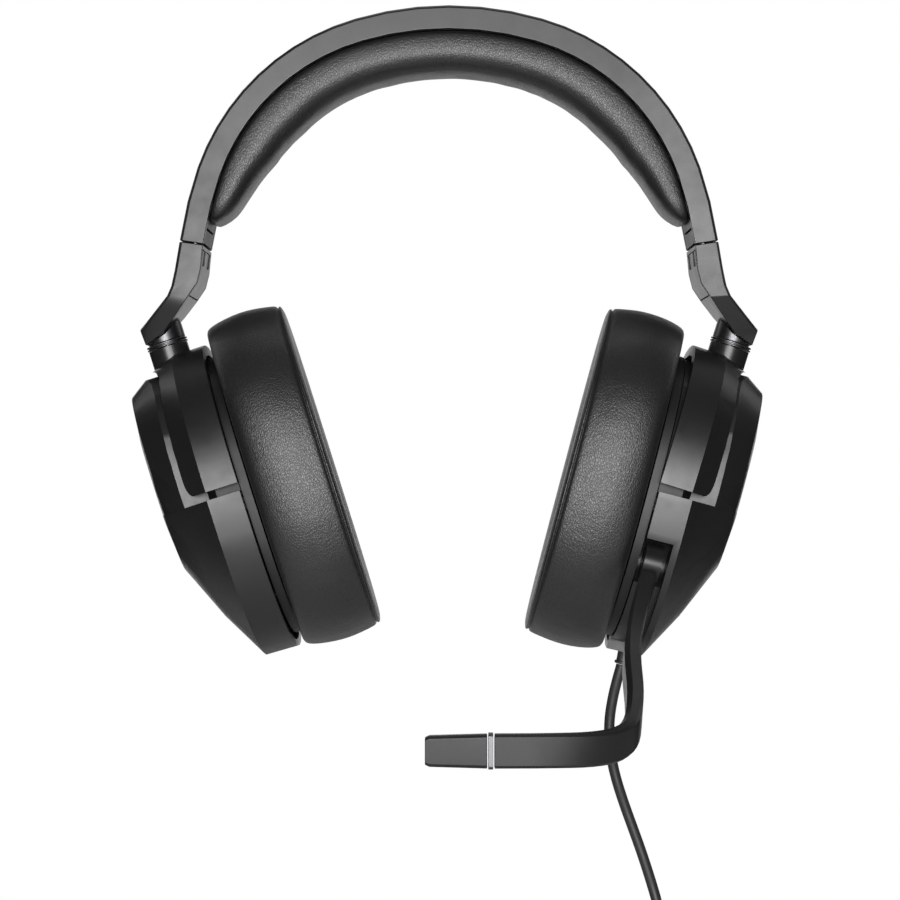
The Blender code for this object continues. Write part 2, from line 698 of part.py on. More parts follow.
def inner_plate(name, grow, proud):
    """The cover plate let into the arm's inner face."""
    half = BAND_DEPTH / 2 - ARM_COVER_INSET + grow
    sections = []
    for station in ARM_STATIONS[:4]:
        outer = Vector((station[0], 0.0, -station[1])) * MM
        inner = Vector((station[2], 0.0, -station[3])) * MM
        lift = Vector((0.0, 0.0, PAD_UNDERSIDE_DROP))
        across = (inner - outer).normalized()
        near = inner + lift + across * proud
        far = inner + lift - across * (ARM_COVER_THICK + grow)
        depth = Vector((0.0, half, 0.0))
        sections.append([near - depth, near + depth, far + depth, far - depth])
    down = Vector((0.0, 0.0, -1.0))
    start = ARM_COVER_INSET - grow
    sections[0] = [point + down * start for point in sections[0]]
    sections[-1] = [point - (point - last).normalized() * (ARM_COVER_END_GAP - grow)
                    for point, last in zip(sections[-1], sections[-2])]
    return loft(name, sections)


# ================================================================ cup shell and fork

def superellipse(u, low_w, high_w, half_y, power, count=RING_COUNT):
    """A closed oval at one u level, from its lowest and highest w and its half depth."""
    middle, half_w = (low_w + high_w) / 2, (high_w - low_w) / 2
    points = []
    for k in range(count):
        turn = 2 * math.pi * k / count
        c, s = math.cos(turn), math.sin(turn)
        points.append(Vector((u, math.copysign(half_y * abs(c) ** (2 / power), c),
                              middle + math.copysign(half_w * abs(s) ** (2 / power), s))))
    return points


def dome(name, levels, shrink_y=0.0, shrink_w=0.0, shrink_u=0.0, start=0.0):
    """The cup's domed body, or a smaller one inside it."""
    sections = []
    for u, low_w, high_w, half_y, share in levels:
        sections.append(superellipse(u * MM - shrink_u * share, low_w * MM + shrink_w,
                                     high_w * MM - shrink_w, half_y * MM - shrink_y, OUTLINE_POWER))
    for point in sections[0]:
        point.x -= start
    return loft(name, sections)


def plate_prism(name, grow_y, grow_w):
    """The straight-sided block that the raised centre of the cup is cut from."""
    half_y = PLATE_HALF_Y + grow_y
    top = PLATE_TOP_W + grow_w
    outline = [(-half_y, -FAR), (half_y, -FAR)]
    for k in range(PLATE_STEPS + 1):
        turn = math.pi * k / PLATE_STEPS
        c, s = math.cos(turn), math.sin(turn)
        outline.append((math.copysign(half_y * abs(c) ** (2 / PLATE_POWER), c),
                        PLATE_SPRING_W + (top - PLATE_SPRING_W) * s ** (2 / PLATE_POWER)))
    return loft(name, [[Vector((u, y, w)) for y, w in outline] for u in (RIM_U - OVER * 8, FAR)])


def make_shell(side):
    name = side.name
    shell = dome(f"{name}_cup_shell", FORK_LEVELS, FORK_THICK + FORK_ROOM_Y, FORK_THICK + FORK_ROOM_W,
                 FORK_THICK + FORK_ROOM_U)
    lower = side.cup_cutter(dome(f"{name}_lower_dome", SHELL_LEVELS))
    above = box(f"{name}_above_slot", (0.0, -FAR, FORK_END_W - SLOT), (FAR, FAR, FAR))
    boolean(lower, side.cup_cutter(above), "DIFFERENCE")
    boolean(shell, lower, "UNION")
    centre = side.cup_cutter(dome(f"{name}_raised_centre", SHELL_LEVELS, UNION_STEP, UNION_STEP,
                                 UNION_STEP))
    boolean(centre, side.cup_cutter(plate_prism(f"{name}_plate_outline", 0.0, 0.0)), "INTERSECT")
    boolean(shell, centre, "UNION")

    hollow = side.cup_cutter(dome(
        f"{name}_upper_hollow", FORK_LEVELS, FORK_THICK + FORK_ROOM_Y + SHELL_WALL,
        FORK_THICK + FORK_ROOM_W + SHELL_WALL, FORK_THICK + FORK_ROOM_U + SHELL_WALL, OVER))
    low_hollow = side.cup_cutter(dome(f"{name}_lower_hollow", SHELL_LEVELS, SHELL_WALL, SHELL_WALL,
                                      SHELL_WALL, OVER * 2))
    boolean(low_hollow, side.cup_cutter(box(f"{name}_above_lower_hollow", (-FAR, -FAR,
            FORK_END_W - SLOT - SHELL_WALL), (FAR, FAR, FAR))), "DIFFERENCE")
    thicker = SHELL_WALL + UNION_STEP
    centre_hollow = side.cup_cutter(dome(f"{name}_centre_hollow", SHELL_LEVELS, thicker, thicker,
                                         thicker, OVER * 3))
    boolean(centre_hollow, side.cup_cutter(plate_prism(
        f"{name}_centre_hollow_outline", -SHELL_WALL, -SHELL_WALL)), "INTERSECT")
    boolean(hollow, low_hollow, "UNION")
    boolean(hollow, centre_hollow, "UNION")
    for k, screw_w in enumerate(SCREW_W, 1):
        post = cylinder(f"{name}_screw_post_{k}", POST_BOSS_RADIUS, (RIM_U - OVER * 5, 0.0, screw_w),
                        (FAR, 0.0, screw_w), 20)
        boolean(hollow, side.cup_cutter(post), "DIFFERENCE")
    if side.side > 0:
        cut_for_boom(side, shell, hollow)
    boolean(shell, hollow, "DIFFERENCE")
    for k, screw_w in enumerate(SCREW_W, 1):
        pilot = cylinder(f"{name}_screw_pilot_{k}", SCREW_RADIUS + GAP, (0.0, 0.0, screw_w),
                         (BAFFLE_U + SCREW_LENGTH + OVER, 0.0, screw_w), 16)
        boolean(shell, side.cup_cutter(pilot), "DIFFERENCE")
    trim = box(f"{name}_rim_trim", (-FAR, -FAR, -FAR), (RIM_U, FAR, FAR))
    boolean(shell, side.cup_cutter(trim), "DIFFERENCE")
    pin_hole = cylinder(f"{name}_pin_hole", TILT_PIN_RADIUS + GAP, (TILT_U, -FAR, TILT_W),
                        (TILT_U, FAR, TILT_W))
    boolean(shell, side.cup_cutter(pin_hole), "DIFFERENCE")
    if side.side > 0:
        cut_for_wheel(side, shell)
        cut_for_relief(side, shell)
    side.cup_part(shell, "cup plastic")


def make_fork(side):
    name = side.name
    fork = dome(f"{name}_fork", FORK_LEVELS)
    neck = cylinder(f"{name}_fork_neck", FORK_NECK_RADIUS, (POST_U, 0.0, FORK_NECK_LOW_W),
                    (POST_U, 0.0, RING_LOW_W - GAP), 32)
    boolean(fork, side.fork_cutter(neck), "UNION")
    inside = dome(f"{name}_fork_inside", FORK_LEVELS, FORK_THICK, FORK_THICK, FORK_THICK, OVER)
    boolean(fork, side.fork_cutter(inside), "DIFFERENCE")
    window = plate_prism(f"{name}_fork_window", FORK_ROOM_Y, FORK_ROOM_W)
    boolean(fork, side.fork_cutter(window), "DIFFERENCE")
    below = box(f"{name}_below_fork", (-FAR, -FAR, -FAR), (FAR, FAR, FORK_END_W))
    boolean(fork, side.fork_cutter(below), "DIFFERENCE")
    behind = box(f"{name}_behind_fork", (-FAR, -FAR, -FAR * 2), (FORK_RIM_U, FAR, FAR))
    boolean(fork, side.fork_cutter(behind), "DIFFERENCE")
    pin_room = cylinder(f"{name}_swivel_room", SWIVEL_PIN_RADIUS + GAP,
                        (POST_U, 0.0, SWIVEL_PIN_LOW_W - GAP), (POST_U, 0.0, FAR))
    boolean(fork, side.fork_cutter(pin_room), "DIFFERENCE")
    inner_y = FORK_LEVELS[0][3] * MM - FORK_THICK
    pin_end = inner_y + TILT_PIN_IN_FORK
    seat = cylinder(f"{name}_pin_seat", TILT_PIN_RADIUS + GAP, (TILT_U, -pin_end - GAP, TILT_W),
                    (TILT_U, pin_end + GAP, TILT_W))
    boolean(fork, side.fork_cutter(seat), "DIFFERENCE")
    side.fork_part(fork, "cup plastic")

    for place, sign in (("front", -1), ("rear", 1)):
        pin = cylinder(f"{name}_{place}_pivot_pin", TILT_PIN_RADIUS,
                       (TILT_U, sign * TILT_PIN_INNER_Y, TILT_W), (TILT_U, sign * pin_end, TILT_W), 24)
        side.fork_part(pin, "spring steel")
    pin = cylinder(f"{name}_swivel_pin", SWIVEL_PIN_RADIUS, (POST_U, 0.0, SWIVEL_PIN_LOW_W),
                   (POST_U, 0.0, SWIVEL_PIN_HIGH_W), 24)
    side.fork_part(pin, "spring steel")


# ================================================================ driver, baffle and cushion

def turned_on_u(name, profile, steps=28):
    """A body turned about the cup's u axis; profile heights are u values."""
    obj = turned(name, profile, steps)
    obj.data.transform(Matrix.Rotation(math.radians(90.0), 4, "Y"))
    obj.modifiers["Turn"].axis = "X"
    return obj


def make_driver(side):
    name = side.name
    baffle_sections = [superellipse(u, SHELL_LEVELS[0][1] * MM + BAFFLE_INSET,
                                    SHELL_LEVELS[0][2] * MM - BAFFLE_INSET,
                                    SHELL_LEVELS[0][3] * MM - BAFFLE_INSET, OUTLINE_POWER, 28)
                       for u in (BAFFLE_U, BAFFLE_U + BAFFLE_THICK)]
    baffle = loft(f"{name}_baffle", baffle_sections)
    seat = cylinder(f"{name}_driver_seat", DRIVER_RADIUS - DRIVER_LIP, (0.0, 0.0, 0.0),
                    (FAR, 0.0, 0.0), 28)
    boolean(baffle, side.cup_cutter(seat), "DIFFERENCE")
    for k, screw_w in enumerate(SCREW_W, 1):
        hole = cylinder(f"{name}_baffle_hole_{k}", SCREW_RADIUS + GAP, (0.0, 0.0, screw_w),
                        (FAR, 0.0, screw_w), 16)
        boolean(baffle, side.cup_cutter(hole), "DIFFERENCE")
        sink = cylinder(f"{name}_baffle_sink_{k}", SCREW_HEAD_RADIUS + GAP, (0.0, 0.0, screw_w),
                        (BAFFLE_U + GAP * 2 + SCREW_HEAD_THICK, 0.0, screw_w), 20)
        boolean(baffle, side.cup_cutter(sink), "DIFFERENCE")
        head = BAFFLE_U + GAP
        screw = turned_on_u(f"{name}_baffle_screw_{k}", (
            (0.0, head + SCREW_LENGTH), (SCREW_RADIUS, head + SCREW_LENGTH),
            (SCREW_RADIUS, head + SCREW_HEAD_THICK), (SCREW_HEAD_RADIUS, head + SCREW_HEAD_THICK),
            (SCREW_HEAD_RADIUS, head), (0.0, head)), 16)
        link_part(screw, "spring steel", side.cup, Vector((0.0, 0.0, screw_w)) - side.tilt_origin)
    side.cup_part(baffle, "inner plastic")

    frame_low = BAFFLE_U + BAFFLE_THICK + GAP
    frame_high = frame_low + DRIVER_FRAME_DEEP
    wall = DRIVER_FRAME_WALL
    magnet_seat = MAGNET_RADIUS - wall
    frame = turned_on_u(f"{name}_driver_frame", (
        (MAGNET_RADIUS + GAP + wall, frame_high), (DRIVER_RADIUS * 0.8, frame_high - wall),
        (DRIVER_RADIUS, frame_low + wall), (DRIVER_RADIUS, frame_low),
        (DRIVER_RADIUS - DRIVER_LIP, frame_low), (DRIVER_RADIUS - DRIVER_LIP, frame_low + wall),
        (DRIVER_RADIUS * 0.75, frame_high - 2 * wall), (magnet_seat, frame_high - wall),
        (magnet_seat, frame_high)))
    side.cup_part(frame, "dark metal")
    magnet = turned_on_u(f"{name}_driver_magnet", (
        (0.0, frame_high + GAP + MAGNET_THICK), (MAGNET_RADIUS, frame_high + GAP + MAGNET_THICK),
        (MAGNET_RADIUS, frame_high + GAP), (0.0, frame_high + GAP)))
    side.cup_part(magnet, "dark metal")
    cone_rim = DRIVER_RADIUS - DRIVER_LIP - GAP
    cone_low = BAFFLE_U + OVER
    waves = ((0.0, 0.0), (0.35, CONE_DISH), (0.7, CONE_RISE), (1.0, 0.0))
    under = [(cone_rim * share, cone_low + rise) for share, rise in waves]
    over = [(radius, height + CONE_THICK) for radius, height in under]
    cone = turned_on_u(f"{name}_diaphragm", over + under[::-1])
    side.cup_part(cone, "cone film")

    scrim_high = CUSHION_OUTER_U
    scrim = loft(f"{name}_scrim", [superellipse(
        u, -EAR_HALF_W + GAP * 2, EAR_HALF_W - GAP * 2, EAR_HALF_Y - GAP * 2, CUSHION_POWER, 24)
        for u in (scrim_high - SCRIM_THICK, scrim_high)])
    side.cup_part(scrim, "speaker cloth")


def make_cushion(side):
    """A ring with rounded corners round the ear opening."""
    low, high, corner = CUSHION_INNER_U, CUSHION_OUTER_U, CUSHION_ROUND
    levels = []
    for turn in (90, 45, 0):
        spread = corner * (1 - math.cos(math.radians(turn)))
        levels.append((low + corner * (1 - math.sin(math.radians(turn))), spread))
    levels += [(high - corner * 0.6, 0.0), (high - corner * 0.15, corner * 0.15), (high, corner * 0.5)]
    outer = [superellipse(u, -CUSHION_HALF_W + spread, CUSHION_HALF_W - spread,
                          CUSHION_HALF_Y - spread, CUSHION_POWER, 36) for u, spread in levels]
    inner = [superellipse(u, -EAR_HALF_W - spread, EAR_HALF_W + spread, EAR_HALF_Y + spread,
                          CUSHION_POWER, 36) for u, spread in reversed(levels)]
    cushion = loft(f"{side.name}_ear_cushion", outer + inner, closed=True)
    smooth_faces(cushion, 60.0)
    side.cup_part(cushion, "leatherette")


# ================================================================ microphone boom

def cut_for_boom(side, shell, hollow):
    """The round notch and the step in the left shell's front lower wall."""
    notch = cylinder("boom_notch", HUB_RADIUS + HUB_ROOM, (NOTCH_LOW_U - OVER, HUB_Y, HUB_W),
                     (NOTCH_HIGH_U, HUB_Y, HUB_W), 40)
    keep = cylinder("boom_notch_wall", HUB_RADIUS + HUB_ROOM + NOTCH_WALL,
                    (NOTCH_LOW_U - OVER * 4, HUB_Y, HUB_W), (NOTCH_HIGH_U + SHELL_WALL, HUB_Y, HUB_W), 40)
    boolean(hollow, side.cup_cutter(keep), "DIFFERENCE")
    backing = side.cup_cutter(box("boom_step_wall", (0.0, -FAR, -FAR),
                                  (NOTCH_HIGH_U + NOTCH_WALL, STEP_END_Y + NOTCH_WALL, HUB_W + NOTCH_WALL)))
    deep = STEP_DEEP + NOTCH_WALL
    boolean(backing, side.cup_cutter(dome("boom_step_inside", SHELL_LEVELS, deep, deep, 0.0,
                                          OVER * 9)), "DIFFERENCE")
    boolean(hollow, backing, "DIFFERENCE")
    boolean(shell, side.cup_cutter(notch), "DIFFERENCE")
    step = side.cup_cutter(box("boom_step", (0.0, -FAR, -FAR), (NOTCH_HIGH_U, STEP_END_Y, HUB_W)))
    boolean(step, side.cup_cutter(dome("boom_step_floor", SHELL_LEVELS, STEP_DEEP, STEP_DEEP, 0.0,
                                       OVER * 8)), "DIFFERENCE")
    boolean(shell, step, "DIFFERENCE")


def boom_section(centre, ahead, tall_axis, share):
    """One chamfered section of the boom strip."""
    across = ahead.cross(tall_axis).normalized()
    upright = across.cross(ahead).normalized()
    tall = BOOM_TALL * share / 2
    thin = BOOM_THIN / 2
    cut = BOOM_CHAMFER * share
    outline = ((-tall, -thin + cut * 0.5), (-tall, thin), (tall - cut, thin), (tall, thin - cut),
               (tall, -thin + cut * 0.5), (tall - cut * 0.5, -thin), (-tall + cut * 0.5, -thin))
    return [centre + upright * t + across * n for t, n in outline]


def make_boom():
    cup = cup_matrix(1)
    hub_world = cup @ Vector((HUB_U, HUB_Y, HUB_W))
    axis = axis_empty("mic_boom_axis", cup, (HUB_U, HUB_Y, HUB_W))

    low_u = HUB_U - HUB_THICK / 2
    hub = cylinder("mic_hub", HUB_RADIUS, (low_u, HUB_Y, HUB_W), (low_u + HUB_THICK, HUB_Y, HUB_W), 32)
    pivot_room = cylinder("hub_bore", HUB_BORE_RADIUS, (low_u - OVER, HUB_Y, HUB_W), (FAR, HUB_Y, HUB_W), 20)
    from_hub = -Vector((HUB_U, HUB_Y, HUB_W))
    boolean(hub, link_cutter(pivot_room, axis, from_hub), "DIFFERENCE")
    link_part(hub, "boom plastic", axis, from_hub)

    points = [Vector(point) * MM for point, tall_axis, share in BOOM_ROUTE]
    axes = [Vector(tall_axis) for point, tall_axis, share in BOOM_ROUTE]
    shares = [Vector((share, 0.0, 0.0)) for point, tall_axis, share in BOOM_ROUTE]
    centres = catmull(points, BOOM_STEPS)
    axes = catmull(axes, BOOM_STEPS)
    shares = catmull(shares, BOOM_STEPS)
    sections = []
    for k, centre in enumerate(centres):
        ahead = (centres[min(k + 1, len(centres) - 1)] - centres[max(k - 1, 0)]).normalized()
        sections.append(boom_section(centre, ahead, axes[k], shares[k].x))
    arm = loft("boom_arm", sections)
    from_world(arm, hub_world)
    hub_clear = cylinder("hub_clearance", HUB_RADIUS + GAP, (low_u - OVER * 2, HUB_Y, HUB_W),
                         (low_u + HUB_THICK + OVER * 2, HUB_Y, HUB_W), 48)
    boolean(arm, link_cutter(hub_clear, axis, from_hub), "DIFFERENCE")
    link_part(arm, "boom plastic", axis)
    make_microphone(axis, hub_world)


def make_microphone(axis, hub_world):
    """The ring, the housing and the capsule at the boom's end."""

    def slice_at(x, share, proud=0.0):
        centre = Vector((x, MIC_Y, MIC_Z))
        section = boom_section(centre, Vector((-1.0, 0.0, 0.0)), Vector((0.0, 0.0, 1.0)), share)
        return [point + (point - centre).normalized() * proud for point in section]

    ring_end = MIC_RING_X - MIC_RING_THICK
    ring = loft("boom_ring", [slice_at(x, 1.0, MIC_RING_PROUD) for x in (MIC_RING_X, ring_end)])
    from_world(ring, hub_world)
    link_part(ring, "bright trim", axis)

    start = ring_end - GAP
    end = start - MIC_HOUSING_LENGTH
    housing = loft("mic_housing", [slice_at(start, 1.0), slice_at(end + MIC_NOSE, MIC_TAPER),
                                   slice_at(end, MIC_TAPER * MIC_NOSE_SHARE)])
    from_world(housing, hub_world)
    capsule_x = end + CAPSULE_FROM_END
    cavity = cylinder("capsule_room", CAPSULE_RADIUS + GAP, (capsule_x, MIC_Y, MIC_Z),
                      (capsule_x, MIC_Y + BOOM_THIN, MIC_Z), 20)
    from_world(cavity, hub_world)
    boolean(housing, link_cutter(cavity, axis), "DIFFERENCE")
    link_part(housing, "boom plastic", axis)
    capsule = cylinder("mic_capsule", CAPSULE_RADIUS, (capsule_x, MIC_Y + GAP, MIC_Z),
                       (capsule_x, MIC_Y + BOOM_THIN / 2 - CAPSULE_SUNK, MIC_Z), 20)
    from_world(capsule, hub_world)
    link_part(capsule, "dark metal", axis)


def from_world(obj, origin):
    """Turn a mesh drawn in the headset's frame into the boom's frame on its hub."""
    turn = cup_matrix(1).to_3x3().to_4x4().inverted()
    obj.data.transform(turn @ Matrix.Translation(-origin))


# ================================================================ volume wheel and electronics

def wheel_place():
    level = SHELL_LEVELS[0]
    middle, half = (level[1] + level[2]) / 2 * MM, (level[2] - level[1]) / 2 * MM
    share = abs((WHEEL_W - middle) / half)
    wall_y = level[3] * MM * (1 - share ** OUTLINE_POWER) ** (1 / OUTLINE_POWER)
    return Vector((WHEEL_U, wall_y + WHEEL_PROUD - WHEEL_RADIUS, WHEEL_W))


def cut_for_wheel(side, shell):
    place = wheel_place()
    reach = WHEEL_RADIUS + WHEEL_ROOM
    slot = box("wheel_slot", (place.x - WHEEL_THICK / 2 - WHEEL_ROOM, place.y, place.z - reach),
               (place.x + WHEEL_THICK / 2 + WHEEL_ROOM, FAR, place.z + reach))
    boolean(shell, side.cup_cutter(slot), "DIFFERENCE")


def make_wheel(side):
    place = wheel_place()
    axis = axis_empty("volume_wheel_axis", cup_matrix(1), place)
    half = WHEEL_THICK / 2
    outline = []
    for k in range(WHEEL_RIBS * 2):
        turn = math.pi * k / WHEEL_RIBS
        radius = WHEEL_RADIUS - (WHEEL_RIB_DEEP if k % 2 else 0.0)
        outline.append((radius * math.cos(turn), radius * math.sin(turn)))
    wheel = loft("volume_wheel", [[Vector((u, a, b)) for a, b in outline] for u in (-half, half)])
    link_part(wheel, "wheel plastic", axis)
    pot_high = place.x - half - GAP
    pot = cylinder("volume_pot", POT_RADIUS, (pot_high - POT_THICK, place.y, place.z),
                   (pot_high, place.y, place.z), 24)
    side.cup_part(pot, "dark metal")

    board = box("circuit_board", [BOARD_PLACE[k] - BOARD_SIZE[k] / 2 for k in range(3)],
                [BOARD_PLACE[k] + BOARD_SIZE[k] / 2 for k in range(3)])
    side.cup_part(board, "circuit board")


# ================================================================ cord

def cut_for_relief(side, shell):
    hole = cylinder("relief_hole", RELIEF_TOP_RADIUS + GAP, (RELIEF_U, RELIEF_Y, RELIEF_TOP_W + OVER),
                    (RELIEF_U, RELIEF_Y, -FAR), 24)
    boolean(shell, side.cup_cutter(hole), "DIFFERENCE")


def make_cord():
    route = [Vector(point) * MM for point in CORD_ROUTE]
    top = cup_matrix(1) @ Vector((RELIEF_U, RELIEF_Y, RELIEF_TOP_W))
    link_part(tapered_boot("strain_relief", top, route[0] + (top - route[0]).normalized() * GAP),
              "cord rubber")
    link_part(tube("cord_lead", even_points(route, CORD_STEP), CORD_DIAMETER / 2), "cord rubber")

    coil = turned("cord_coil", coil_profile(), 28)
    coil.rotation_euler = (math.radians(90.0), 0.0, 0.0)
    link_part(coil, "cord rubber", None, COIL_CENTRE)

    tail = [Vector(point) * MM for point in TAIL_ROUTE]
    link_part(tube("cord_tail", even_points(tail, TAIL_STEP), CORD_DIAMETER / 2), "cord rubber")
    make_tie()
    make_plug(tail[-1] + Vector((0.0, 0.0, -GAP)))


def tapered_boot(name, top, end):
    """A round sleeve that narrows from its top to its end."""
    bpy.ops.mesh.primitive_cone_add(vertices=20, radius1=RELIEF_TOP_RADIUS, radius2=RELIEF_END_RADIUS,
                                    depth=(end - top).length)
    boot = bpy.context.object
    boot.name = name
    turn = (end - top).to_track_quat("Z", "Y").to_matrix().to_4x4()
    boot.data.transform(Matrix.Translation((top + end) / 2) @ turn)
    smooth_faces(boot)
    return boot


def coil_profile():
    """The bundle's round section, its outer side running downward."""
    points = []
    for k in range(COIL_SIDES):
        turn = math.pi / 2 - 2 * math.pi * (k + 0.5) / COIL_SIDES
        points.append((COIL_RADIUS + COIL_BUNDLE * math.cos(turn), COIL_BUNDLE * math.sin(turn)))
    return tuple(points)


def make_tie():
    """A flat strap round the bundle at the foot of the coil."""
    inner = COIL_BUNDLE + TIE_ROOM
    outer = inner + TIE_THICK
    sections = []
    foot = Vector(COIL_CENTRE) + Vector((0.0, 0.0, -COIL_RADIUS))
    for k in range(TIE_SIDES):
        turn = 2 * math.pi * k / TIE_SIDES
        ray = Vector((0.0, math.cos(turn), math.sin(turn)))
        along = Vector((TIE_HALF_WIDTH, 0.0, 0.0))
        bow = Vector((0.0, 0.0, tie_bow()))
        sections.append([foot + ray * inner + along + bow, foot + ray * outer + along + bow,
                         foot + ray * outer - along + bow, foot + ray * inner - along + bow])
    link_part(loft("coil_tie", sections, closed=True), "speaker cloth")


def tie_bow():
    """The coil's middle line rises by this much between the strap's middle and its edges."""
    return (COIL_RADIUS - math.sqrt(COIL_RADIUS ** 2 - TIE_HALF_WIDTH ** 2)) / 2


def make_plug(top):
    shoulder = PLUG_NECK_LENGTH + PLUG_RADIUS - PLUG_NECK_RADIUS
    body = turned("plug_body", (
        (0.0, 0.0), (PLUG_NECK_RADIUS, 0.0), (PLUG_NECK_RADIUS, -PLUG_NECK_LENGTH),
        (PLUG_RADIUS, -shoulder), (PLUG_RADIUS, PLUG_EDGE - PLUG_LENGTH),
        (PLUG_RADIUS - PLUG_EDGE, -PLUG_LENGTH), (0.0, -PLUG_LENGTH)), 24)
    link_part(body, "cord rubber", None, top)
    groove = PLUG_TIP_LENGTH * 0.7
    bulge = PLUG_TIP_LENGTH * 0.4
    pin = turned("plug_pin", (
        (0.0, 0.0), (PLUG_PIN_RADIUS, 0.0), (PLUG_PIN_RADIUS, PLUG_TIP_LENGTH - PLUG_PIN_LENGTH),
        (PLUG_PIN_RADIUS * 0.7, groove - PLUG_PIN_LENGTH), (PLUG_PIN_RADIUS, bulge - PLUG_PIN_LENGTH),
        (PLUG_PIN_RADIUS * 0.4, -PLUG_PIN_LENGTH), (0.0, -PLUG_PIN_LENGTH)), 20)
    link_part(pin, "gold plate", None, top + Vector((0.0, 0.0, -PLUG_LENGTH - GAP)))


# ================================================================ assembly

def main():
    make_headband()
    for name, sign in (("left", 1), ("right", -1)):
        side = Side(name, sign)
        make_band_end(side)
        make_arm(side)
        make_fork(side)
        make_shell(side)
        make_driver(side)
        make_cushion(side)
        if sign > 0:
            make_boom()
            make_wheel(side)
            make_cord()


main()
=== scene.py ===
"""Finished surfaces, soft parts and cord of a wired gaming headset, built round its fixed frame."""
import math

import bmesh
import bpy
from mathutils import Matrix, Vector, noise


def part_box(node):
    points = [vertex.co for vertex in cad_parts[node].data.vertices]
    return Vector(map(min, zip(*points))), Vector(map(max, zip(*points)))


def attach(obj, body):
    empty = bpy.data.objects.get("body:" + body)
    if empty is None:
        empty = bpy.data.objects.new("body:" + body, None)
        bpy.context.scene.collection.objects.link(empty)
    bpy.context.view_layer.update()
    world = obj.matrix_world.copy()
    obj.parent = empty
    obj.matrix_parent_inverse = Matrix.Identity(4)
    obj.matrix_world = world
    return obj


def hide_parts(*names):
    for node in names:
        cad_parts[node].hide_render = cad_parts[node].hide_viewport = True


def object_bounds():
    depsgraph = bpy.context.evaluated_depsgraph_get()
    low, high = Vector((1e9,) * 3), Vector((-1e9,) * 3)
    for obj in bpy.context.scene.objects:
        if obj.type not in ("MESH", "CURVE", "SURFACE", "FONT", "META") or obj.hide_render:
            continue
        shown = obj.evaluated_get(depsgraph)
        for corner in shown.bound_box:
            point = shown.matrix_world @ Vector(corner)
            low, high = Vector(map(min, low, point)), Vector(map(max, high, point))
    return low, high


bl_info = {
    "name": "Gaming headset",
    "version": (1, 0, 0),
    "blender": (4, 5, 0),
    "location": "View3D > Sidebar > Headset",
    "description": "Builds the finished look of a wired gaming headset round its frame",
    "category": "Object",
}

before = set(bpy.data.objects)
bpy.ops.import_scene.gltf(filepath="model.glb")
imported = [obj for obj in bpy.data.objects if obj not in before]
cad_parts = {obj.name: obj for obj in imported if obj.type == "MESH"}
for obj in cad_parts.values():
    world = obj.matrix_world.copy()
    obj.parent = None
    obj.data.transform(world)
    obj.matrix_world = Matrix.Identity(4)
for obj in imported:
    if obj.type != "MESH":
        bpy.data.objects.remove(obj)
CAD_BOX = [list(corner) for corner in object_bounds()]

MM = 0.001
SIDES = (("left", 1.0), ("right", -1.0))

# ---------------------------------------------------------------- places taken over from the frame
TOP_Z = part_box("headband_top_cover")[1].z
ARCH = ((100.0, 17.0), (71.0, 72.0), (126.0, 81.5))     # radius in mm, angle it runs to
BAND_THICK = 7.1
CUP_X = 48.7
CUP_Z = -122.2
CUP_LEAN = math.radians(17.5)
TILT_U = 17.5
TILT_W = 7.0
LEFT_REST_TILT = math.radians(2.7)
POST_U = 23.4
WINDOW_HALF_Y = 27.92              # the fork's window, front and rear
FORK_END_W = 2.7
FORK_CORNER = 4.6                  # radius of the window's lower corners
RING_LOW_W = 49.15
RING_HIGH_W = 50.35
WELD = 0.000002                    # points closer than this, in metres, are one point
FLAT_ANGLE = math.radians(0.6)     # triangles this close to one plane are one face


def cup_place(side, tilted=True):
    """Cup coordinates in mm (u outward, y, w up the cup) to the headset's frame in metres."""
    half_turn = Matrix.Identity(4) if side > 0 else Matrix.Rotation(math.pi, 4, "Z")
    place = Matrix.Translation((CUP_X, 0.0, CUP_Z)) @ Matrix.Rotation(CUP_LEAN, 4, "Y")
    if tilted and side > 0:
        pins = Matrix.Translation((TILT_U, 0.0, TILT_W))
        place = place @ pins @ Matrix.Rotation(-LEFT_REST_TILT, 4, "Y") @ pins.inverted()
    return Matrix.Scale(MM, 4) @ half_turn @ place


def arch_point(angle, inset, y):
    """A point on the band, in metres: degrees from the top, mm in from its outer face."""
    turn = math.radians(abs(angle))
    x, drop, reached = 0.0, 0.0, 0.0
    for radius, limit in ARCH:
        end = min(turn, math.radians(limit))
        if end > reached:
            x += radius * (math.sin(end) - math.sin(reached))
            drop += radius * (math.cos(reached) - math.cos(end))
            reached = end
    x -= inset * math.sin(turn)
    drop += inset * math.cos(turn)
    return Vector((math.copysign(x, angle) * MM, y * MM, TOP_Z - drop * MM))


# ================================================================ settings

class HeadsetLeather(bpy.types.PropertyGroup):
    colour: bpy.props.FloatVectorProperty(
        name="Colour", description="Colour of the leatherette", subtype="COLOR", size=3,
        min=0.0, max=1.0, default=(0.010, 0.010, 0.0105))
    roughness: bpy.props.FloatProperty(
        name="Roughness", description="How matte the leatherette is", subtype="FACTOR",
        min=0.0, max=1.0, default=0.40)
    grain: bpy.props.FloatProperty(
        name="Grain", description="Distance between the grain's wrinkles", unit="LENGTH",
        min=0.0002, max=0.01, default=0.00058)
    grain_depth: bpy.props.FloatProperty(
        name="Grain depth", description="Depth of the grain's wrinkles", unit="LENGTH",
        min=0.0, max=0.002, default=0.00022)


